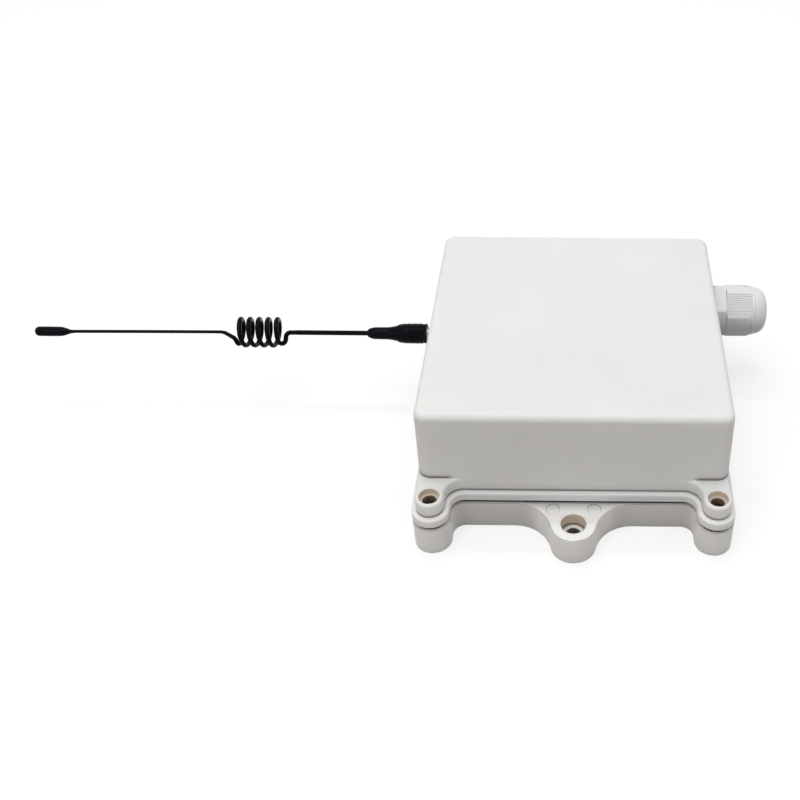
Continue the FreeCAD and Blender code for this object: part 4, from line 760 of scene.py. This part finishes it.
tip_end, nose_length = 161.6, 1.66
tip_nose = [
    (tip_end - nose_length + nose_length * sin(radians(turn)), 0.3 + 1.65 * cos(radians(turn)))
    for turn in range(0, 100, 15)]
tip = turn_piece("whip_tip_cap", [
    (146.3, 0.66), (146.9, 0.7), (147.7, 0.84), (148.6, 1.18), (149.8, 1.6), (150.9, 1.86),
    (151.9, 1.93), (155.5, 1.97), (158.6, 1.95)] + tip_nose + [(tip_end, 0)], 40)
bpy.ops.object.mode_set(mode="EDIT")
bpy.ops.mesh.select_all(action="SELECT")
bpy.ops.mesh.fill_holes(sides=0)
bpy.ops.object.mode_set(mode="OBJECT")
boot_black = Finish("black boot rubber", IOR=1.5, Specular_IOR_Level=0.04)
boot_black.mottle(220, 4, (0.0028, 0.003, 0.0052), (0.0055, 0.0058, 0.0088))
boot_black.sheen(700, 3, 0.1, 0.17)
boot_black.grain(900, 2, 0.008, 0.35)
hanging = Matrix.Translation((0, 0, -whip_droop(154) * mm))
settle(tip, hanging @ SOCKET, boot_black, "antenna", "whip_tip")

# The boot's grip is a net of raised diamonds: rings of the turned form are cut into diamonds, each is
# inset and pressed out, and the whole is softened.
boot_foot = [
    (4.7, 3.45), (4.7, 2.95), (4.2, 2.95), (4.1, 3.4), (4.1, 3.9), (4.15, 4.12), (4.4, 4.2),
    (5.4, 4.05)]
boot_grip = [(5.5, 3.9), (7.6, 3.9), (9.7, 3.9), (11.8, 3.88), (13.9, 3.8), (16.0, 3.3)]
boot_neck = [
    (17.6, 2.95), (19.0, 2.68), (20.2, 2.58), (22.8, 2.57), (25.2, 2.55), (26.2, 2.4), (27.1, 2.08),
    (27.8, 1.66), (28.15, 1.26), (28.3, 1.03)]
boot_inside = [(27.7, 1.01), (13.6, 1.01), (13.5, 3.45), (4.7, 3.45)]
boot = turn_piece("antenna_rubber_boot", boot_foot + boot_grip + boot_neck + boot_inside, 12)


def on_grip(middle, normal):
    return 5.6 * mm < middle.z < 16.0 * mm and normal.to_2d().dot(middle.to_2d().normalized()) > 0.7


select_where(boot, "FACE", on_grip)
bpy.ops.mesh.poke()
bpy.ops.mesh.tris_convert_to_quads(face_threshold=radians(80), shape_threshold=radians(80))
bpy.ops.mesh.inset(thickness=0.2 * mm, depth=0.0, use_individual=True)
bpy.ops.mesh.inset(thickness=0.14 * mm, depth=0.34 * mm, use_individual=True)
bpy.ops.object.mode_set(mode="OBJECT")
apply(boot, "SUBSURF", levels=3, render_levels=3)
settle(boot, SOCKET, boot_black, "antenna", "antenna_boot", sharp=60)


# Cover screws
# Four zinc-plated screws come up through the base's bosses into the brass inserts. Their round heads
# have a cross recess and sit in hollows under the base; the threads are rolled.
def add_screw(label, outline, cross, thread):
    """A turned screw, head down: the recess is given by its width, its depth and the head's level."""
    screw = turn_piece(label, outline, 40)
    width, depth, level = cross
    half, thin = width / 2, width * 0.09
    for turned in (0, pi / 2):
        wing = add_block("wing", (-half, -thin, level - 0.4), (half, thin, level + depth))
        select_where(wing, "FACE", lambda middle, normal: normal.z > 0.9)
        bpy.ops.transform.resize(value=(0.4, 0.7, 1), center_override=(0, 0, 0))
        bpy.ops.mesh.select_all(action="SELECT")
        bpy.ops.transform.rotate(value=turned, orient_axis="Z", center_override=(0, 0, 0))
        bpy.ops.object.mode_set(mode="OBJECT")
        carve(screw, wing)
    add_thread(screw, *thread)
    return screw


def set_out(pattern, label, places, finish, body, node):
    """Copies a piece with its mesh to each place, in millimetres, and puts the pattern away."""
    for number, place in enumerate(places):
        take(pattern)
        bpy.ops.object.duplicate()
        copy = bpy.context.object
        copy.name = f"{label}_{number + 1}"
        settle(copy, Matrix.Translation(Vector(place) * mm), finish, body, node)
    bpy.data.objects.remove(pattern)


screw = add_screw("cover_screw", [
    (1.4, 0), (1.4, 1.6), (1.5, 2.6), (1.75, 3.25), (2.2, 3.6), (2.7, 3.7), (3.62, 3.7), (3.8, 3.55),
    (3.8, 1.62), (17.2, 1.62), (17.8, 1.1), (17.8, 0)],
    (4.4, 1.7, 1.4), (1.62, 1.98, 0.7, 4.6, 17.4, 24))
corners = [(side, end) for side in (-1, 1) for end in (-1, 1)]
set_out(screw, "cover_screw", [(side * BOSS[0], end * BOSS[1], 0) for side, end in corners],
        steel, "base", "cover_screws")


# Circuit board
# Glass laminate with green solder resist over etched copper. It hangs component side down from the
# posts under the housing's top, held by four thread-forming screws.
def make_laminate(name, colour, first, second, half_first=1.0, half_second=1.0):
    """Resist over copper tracks that run along either of two axes, with tinned pads between them."""
    board = Finish(name, IOR=1.5, Specular_IOR_Level=0.5)
    axes = board.axes()
    plan = board.node("ShaderNodeCombineXYZ", {}, {0: axes[first], 1: axes[second]})
    turned = board.node("ShaderNodeCombineXYZ", {}, {0: axes[second], 1: axes[first]})
    black, white = (0, 0, 0, 1), (1, 1, 1, 1)
    tracks = [board.node("ShaderNodeTexBrick", {"offset": 0.37}, {
        "Vector": way, "Color1": black, "Color2": black, "Mortar": white, "Scale": 1 / mm,
        "Mortar Size": 0.2, "Mortar Smooth": 0.2, "Brick Width": wide, "Row Height": high})
        for way, wide, high in ((plan, 19.0, 1.9), (turned, 14.0, 2.3))]
    region = board.noise(70, 0, plan) > 0.5
    copper = board.mix(region, tracks[0], tracks[1])
    fill = board.noise(55, 0, turned) > 0.56
    copper = board.mix(fill, copper, (1.0, 1.0, 1.0))
    dots = board.node("ShaderNodeTexVoronoi", {"voronoi_dimensions": "2D"}, {
        "Vector": plan, "Scale": 1 / (2.54 * mm), "Randomness": 0.0})
    pad = (dots < 0.3) * (board.noise(110, 0, plan) > 0.6)
    hole = (dots < 0.13) * pad
    dark = tuple(value * 0.45 for value in colour)
    shade = board.mix(copper, dark, colour)
    shade = board.mix(pad, shade, (0.62, 0.61, 0.57))
    shade = board.mix(hole, shade, (0.03, 0.03, 0.025))
    edge = (abs(axes[first]) > half_first) + (abs(axes[second]) > half_second)
    shade = board.mix(edge, shade, (0.36, 0.33, 0.17))
    board.give("Base Color", shade)
    board.give("Metallic", pad * (1 - hole))
    board.sheen(400, 3, 0.28, 0.42, span=(0.3, 0.7))
    board.give("Normal", board.bump(copper + pad, 0.04 * mm, 0.6))
    return board


board_green = make_laminate("green circuit board", (0.035, 0.25, 0.085), 0, 1, 42.3 * mm, 44.8 * mm)
coat(board_green, "circuit_board")
screw = add_screw("board_screw", [
    (38.0, 0), (38.0, 1.5), (38.15, 2.1), (38.5, 2.5), (39.1, 2.7), (39.78, 2.7), (39.78, 1.1),
    (46.3, 1.1), (47.3, 0.15), (47.3, 0)],
    (2.9, 1.2, 38.0), (1.1, 1.42, 1.0, 40.2, 46.6, 24))
set_out(screw, "board_screw", [(side * 37.45, end * 39.95, 0) for side, end in corners],
        steel, "housing", "board_screws")


# Terminal block
# A green moulded block of five terminals with its wire entries facing the gland. Each has a tinned
# clamp behind its entry and a slotted screw that is reached from below.
def make_moulding(name, light, dark, roughness, grain=0.012):
    """A moulded plastic with faint flow marks and a fine grain."""
    plastic = Finish(name, IOR=1.5, Specular_IOR_Level=0.4)
    flow = plastic.noise(180, 3, roughness=0.6)
    plastic.give("Base Color", plastic.mix(plastic.step(flow, 0.3, 0.7), dark, light))
    plastic.sheen(500, 3, roughness, roughness + 0.14)
    plastic.grain(2400, 2, grain, 0.5)
    return plastic


TERMINAL_PITCH = 5.08
terminal_rows = [TERMINAL_PITCH * (way - 2) for way in range(5)]
block = add_block("terminal_block", (28.45, -12.7, 26.8), (38.45, 12.7, 39.8))
select_where(block, "EDGE", lambda middle, heading: abs(heading.y) > 0.9 and middle.z < 27 * mm)
bpy.ops.mesh.bevel(offset=1.3 * mm, segments=3, affect="EDGES")
bpy.ops.object.mode_set(mode="OBJECT")
for row in terminal_rows:
    carve(block, add_block("entry", (32.45, row - 1.8, 31.03), (39, row + 1.8, 34.63)))
    funnel = add_block("funnel", (37.7, row - 1.8, 31.03), (38.9, row + 1.8, 34.63))
    select_where(funnel, "FACE", lambda middle, normal: normal.x > 0.9)
    bpy.ops.transform.resize(value=(1, 1.3, 1.3), center_override=(0, row * mm, 32.83 * mm))
    bpy.ops.object.mode_set(mode="OBJECT")
    carve(block, funnel)
    carve(block, add_post("well", (33.45, row), 1.95, 26.6, 30.05, 32))
for row in range(-3, 3):
    level = (row + 0.5) * TERMINAL_PITCH
    carve(block, add_block("groove", (38.2, level - 0.2, 26), (39, level + 0.2, 40)))
terminal_green = make_moulding("terminal green", (0.05, 0.31, 0.13), (0.035, 0.24, 0.10), 0.34)
settle(block, Matrix.Identity(4), terminal_green, "housing", "terminal_block", bevel=0.12)
clamp = add_block("terminal_clamp", (32.6, -1.65, 31.2), (37.2, 1.65, 34.45))
carve(clamp, add_block("way", (32.0, -1.3, 31.55), (38, 1.3, 34.1)))
set_out(clamp, "terminal_clamp", [(0, row, 0) for row in terminal_rows],
        nickel, "housing", "terminal_block")
screw = turn_piece("terminal_screw", [
    (27.45, 0), (27.45, 1.5), (27.65, 1.75), (29.0, 1.78), (29.05, 1.6), (30.05, 1.6), (30.05, 0)], 32)
carve(screw, add_block("slot", (-2, -0.32, 27.2), (2, 0.32, 28.15)))
set_out(screw, "terminal_screw", [(33.45, row, 0) for row in terminal_rows],
        steel, "housing", "terminal_screws")


# Power supply and capacitors
# The supply is a black block potted in its case, with a sunken face. Beside it stand two electrolytic
# capacitors: aluminium cans in printed sleeves, crimped at the foot and scored to vent at the end.
supply = add_block("power_supply", (-10.45, -41.95, 24.8), (23.55, -21.75, 39.8), 1.1, 4)
select_where(supply, "FACE", lambda middle, normal: normal.z < -0.9)
bpy.ops.mesh.inset(thickness=0.75 * mm, depth=0.0)
bpy.ops.mesh.inset(thickness=0.2 * mm, depth=-0.45 * mm)
bpy.ops.object.mode_set(mode="OBJECT")
groove_low, groove_high = 38.2, 39.1
cut_at(supply, groove_low, groove_high)
select_where(supply, "FACE", lambda middle, normal: (
    abs(normal.z) < 0.1 and groove_low * mm < middle.z < groove_high * mm))
bpy.ops.mesh.extrude_region_shrink_fatten(TRANSFORM_OT_shrink_fatten={"value": -0.3 * mm})
bpy.ops.object.mode_set(mode="OBJECT")
supply_black = make_moulding("black case", (0.032, 0.032, 0.034), (0.018, 0.018, 0.02), 0.4, 0.02)
settle(supply, Matrix.Identity(4), supply_black, "housing", "power_supply", bevel=0.2)

sleeve_print = Finish("printed capacitor sleeve", IOR=1.5, Specular_IOR_Level=0.45)
across, along, up = sleeve_print.axes()
stripe = across < -27.5 * mm
can_end = up < 28.75 * mm
shade = sleeve_print.mix(
    sleeve_print.step(sleeve_print.noise(300, 3), 0.3, 0.7), (0.018, 0.022, 0.06), (0.03, 0.036, 0.09))
shade = sleeve_print.mix(stripe, shade, (0.42, 0.44, 0.47))
shade = sleeve_print.mix(can_end, shade, (0.70, 0.70, 0.71))
sleeve_print.give("Base Color", shade)
sleeve_print.give("Metallic", can_end)
sleeve_print.sheen(600, 3, 0.24, 0.4)
sleeve_print.grain(900, 2, 0.01, 0.5)
vent_end = [
    (28.42, 0), (28.42, 3.0), (28.3, 3.1), (28.32, 3.4), (28.5, 3.75), (28.85, 3.96), (29.1, 4.0)]
crimp = [
    (37.3, 4.0), (37.5, 3.93), (37.7, 3.8), (37.9, 3.76), (38.1, 3.8), (38.3, 3.93), (38.5, 4.0)]
can = turn_piece("capacitor", vent_end + crimp + [
    (39.4, 4.0), (39.7, 3.85), (39.8, 3.5), (39.8, 0)], 48)
for turned in (0, pi / 2):
    score = add_block("score", (-2.6, -0.12, 28.2), (2.6, 0.12, 28.55))
    bpy.ops.object.mode_set(mode="EDIT")
    bpy.ops.mesh.select_all(action="SELECT")
    bpy.ops.transform.rotate(value=turned, orient_axis="Z", center_override=(0, 0, 0))
    bpy.ops.object.mode_set(mode="OBJECT")
    carve(can, score)
set_out(can, "capacitor", [(-24.45, -37.95, 0), (-24.45, -26.95, 0)],
        sleeve_print, "housing", "capacitors")


# Control chip and crystal
# The chip is a black moulded package with sixteen bent legs and a dimple at its first leg. The crystal
# sits behind it in a drawn can, welded to its flange.
chip = add_block("control_chip", (-5.15, -2.6, 37.5), (5.15, 2.6, 39.65))
cut_at(chip, 38.6)
select_where(chip, "FACE", lambda middle, normal: abs(normal.z) > 0.9)
bpy.ops.transform.resize(value=(0.97, 0.94, 1), center_override=(0, 0, 0))
bpy.ops.object.mode_set(mode="OBJECT")
carve(chip, add_post("dimple", (-4.1, -1.6), 0.5, 37.3, 37.65, 24))
black_package = make_moulding("black package", (0.03, 0.03, 0.031), (0.018, 0.018, 0.019), 0.45, 0.02)
chip_place = Matrix.Translation((-3.3 * mm, 6.75 * mm, 0))
settle(chip, chip_place, black_package, "housing", "control_chip", bevel=0.08)
leg_bends = ((2.5, 38.6), (2.85, 38.6), (3.0, 38.75), (3.1, 39.5), (3.2, 39.66), (3.72, 39.68))
legs = begin("control_chip_legs", [(-4.64 * mm, out * mm, level * mm) for out, level in leg_bends])
bpy.ops.mesh.select_all(action="SELECT")
bpy.ops.mesh.extrude_region_move(TRANSFORM_OT_translate={"value": (0.4 * mm, 0, 0)})
bpy.ops.object.mode_set(mode="OBJECT")
apply(legs, "SOLIDIFY", thickness=0.18 * mm, offset=0)
apply(legs, "ARRAY", count=8, use_relative_offset=False, use_constant_offset=True,
      constant_offset_displace=(1.27 * mm, 0, 0))
apply(legs, "MIRROR", use_axis=(False, True, False))
settle(legs, chip_place, nickel, "housing", "control_chip")

can = add_block("crystal", (-5.2, -2.05, 36.3), (5.2, 2.05, 39.5), 2.0, 8)
apply(can, "BEVEL", width=0.45 * mm, segments=4, limit_method="ANGLE", angle_limit=radians(60))
carve(can, add_block("flange", (-5.5, -2.35, 39.25), (5.5, 2.35, 39.8), 2.3, 8), "UNION")
settle(can, Matrix.Translation((-3.3 * mm, 15.2 * mm, 0)), nickel, "housing", "crystal", sharp=45)


# Status light and learn switch
# A green moulded lens with its flange and flat, and a black push switch under a tinned plate, whose
# red plunger pairs the transmitter when it is pressed.
lens_flange = [(39.8, 0), (39.8, 2.75), (39.65, 2.9), (38.9, 2.9), (38.8, 2.8), (38.8, 2.5)]
lens_dome = [
    (33.7 - 2.5 * sin(radians(turn)), 2.5 * cos(radians(turn))) for turn in range(0, 100, 10)]
lens = turn_piece("status_light", lens_flange + lens_dome, 40)
carve(lens, add_block("flat", (2.52, -4, 38), (4, 4, 40)))
green_lens = Finish("green lens", IOR=1.5, Specular_IOR_Level=0.5, Transmission_Weight=0.35)
green_lens.mottle(260, 3, (0.05, 0.42, 0.10), (0.09, 0.52, 0.15))
green_lens.sheen(300, 2, 0.08, 0.16, span=(0.3, 0.7))
green_lens.grain(700, 1, 0.004, 0.3)
settle(lens, Matrix.Translation((22.45 * mm, 30.95 * mm, 0)), green_lens, "housing", "status_light")

switch_place = Matrix.Translation((6.45 * mm, 30.95 * mm, 0))
switch = add_block("learn_switch", (-3, -3, 36.45), (3, 3, 39.8), 0.3, 2)
carve(switch, add_post("well", (0, 0), 1.75, 36, 38.35))
settle(switch, switch_place, black_package, "housing", "learn_switch", bevel=0.1)
plate = add_block("learn_switch_plate", (-2.95, -2.95, 36.2), (2.95, 2.95, 36.5), 0.4, 3)
carve(plate, add_post("opening", (0, 0), 1.95, 36, 37))
for side, end in corners:
    carve(plate, add_post("rivet_hollow", (side * 2.25, end * 2.25), 0.4, 36.1, 36.32, 16))
settle(plate, switch_place, steel, "housing", "learn_switch", bevel=0.04)
plunger = turn_piece("learn_plunger", [
    (33.6, 0), (33.6, 1.3), (33.66, 1.5), (33.8, 1.64), (34.0, 1.7), (38.0, 1.7), (38.0, 0)], 40)
plunger_red = make_moulding("red plunger", (0.55, 0.05, 0.035), (0.42, 0.035, 0.025), 0.3)
settle(plunger, switch_place, plunger_red, "learn_button", "learn_plunger")


# Radio module and antenna lead
# A small board that stands in the main one, with a drawn shield over its radio and a thin black coaxial
# lead soldered to it, which ends in the crimped tail of the antenna socket.
coat(make_laminate("green module board", (0.03, 0.20, 0.075), 1, 2), "radio_module")
shield = add_block("radio_shield", (-28.45, -0.8, 26.3), (-26.05, 14.2, 37.3))
select_where(shield, "FACE", lambda middle, normal: normal.x > 0.9)
bpy.ops.mesh.inset(thickness=0.9 * mm, depth=0.0)
bpy.ops.mesh.inset(thickness=0.3 * mm, depth=-0.25 * mm)
bpy.ops.object.mode_set(mode="OBJECT")
for row in range(2):
    for column in range(4):
        vent = add_post("vent", (0, 0), 0.6, -1, 1, 20)
        take(vent)
        place = (-26.1 * mm, (2.6 + column * 2.7) * mm, (30.4 + row * 2.8) * mm)
        vent.matrix_world = Matrix.Translation(place) @ Matrix.Rotation(pi / 2, 4, "Y")
        bpy.ops.object.transform_apply(location=True, rotation=True, scale=True)
        carve(shield, vent)
settle(shield, Matrix.Identity(4), nickel, "housing", "radio_shield", bevel=0.15)

jacket = Finish("black lead jacket", IOR=1.5, Specular_IOR_Level=0.4)
jacket.mottle(500, 3, (0.02, 0.02, 0.021), (0.034, 0.034, 0.036))
jacket.sheen(700, 3, 0.36, 0.5)
jacket.grain(1500, 2, 0.01, 0.5)
lead_course = [((-50.63, 12.7), 0.86), ((-45.2, 12.7), 0.86), ((-45.0, 12.7), 0.9)]
for step in range(13):
    run = step / 12
    ease = run * run * (3 - 2 * run)
    lead_course.append(((-44.2 + 12.1 * run, 12.7 - 6.0 * ease), 0.9))
lead_course += [((-31.2, 6.7), 0.9), ((-31.1, 6.7), 0.7), ((-29.46, 6.7), 0.7)]
lead = add_wire("antenna_lead", [(Vector((*place, 33)) * mm, radius) for place, radius in lead_course])
lead.data.materials.append(jacket.material)
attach(lead, "housing")
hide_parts("antenna_lead")
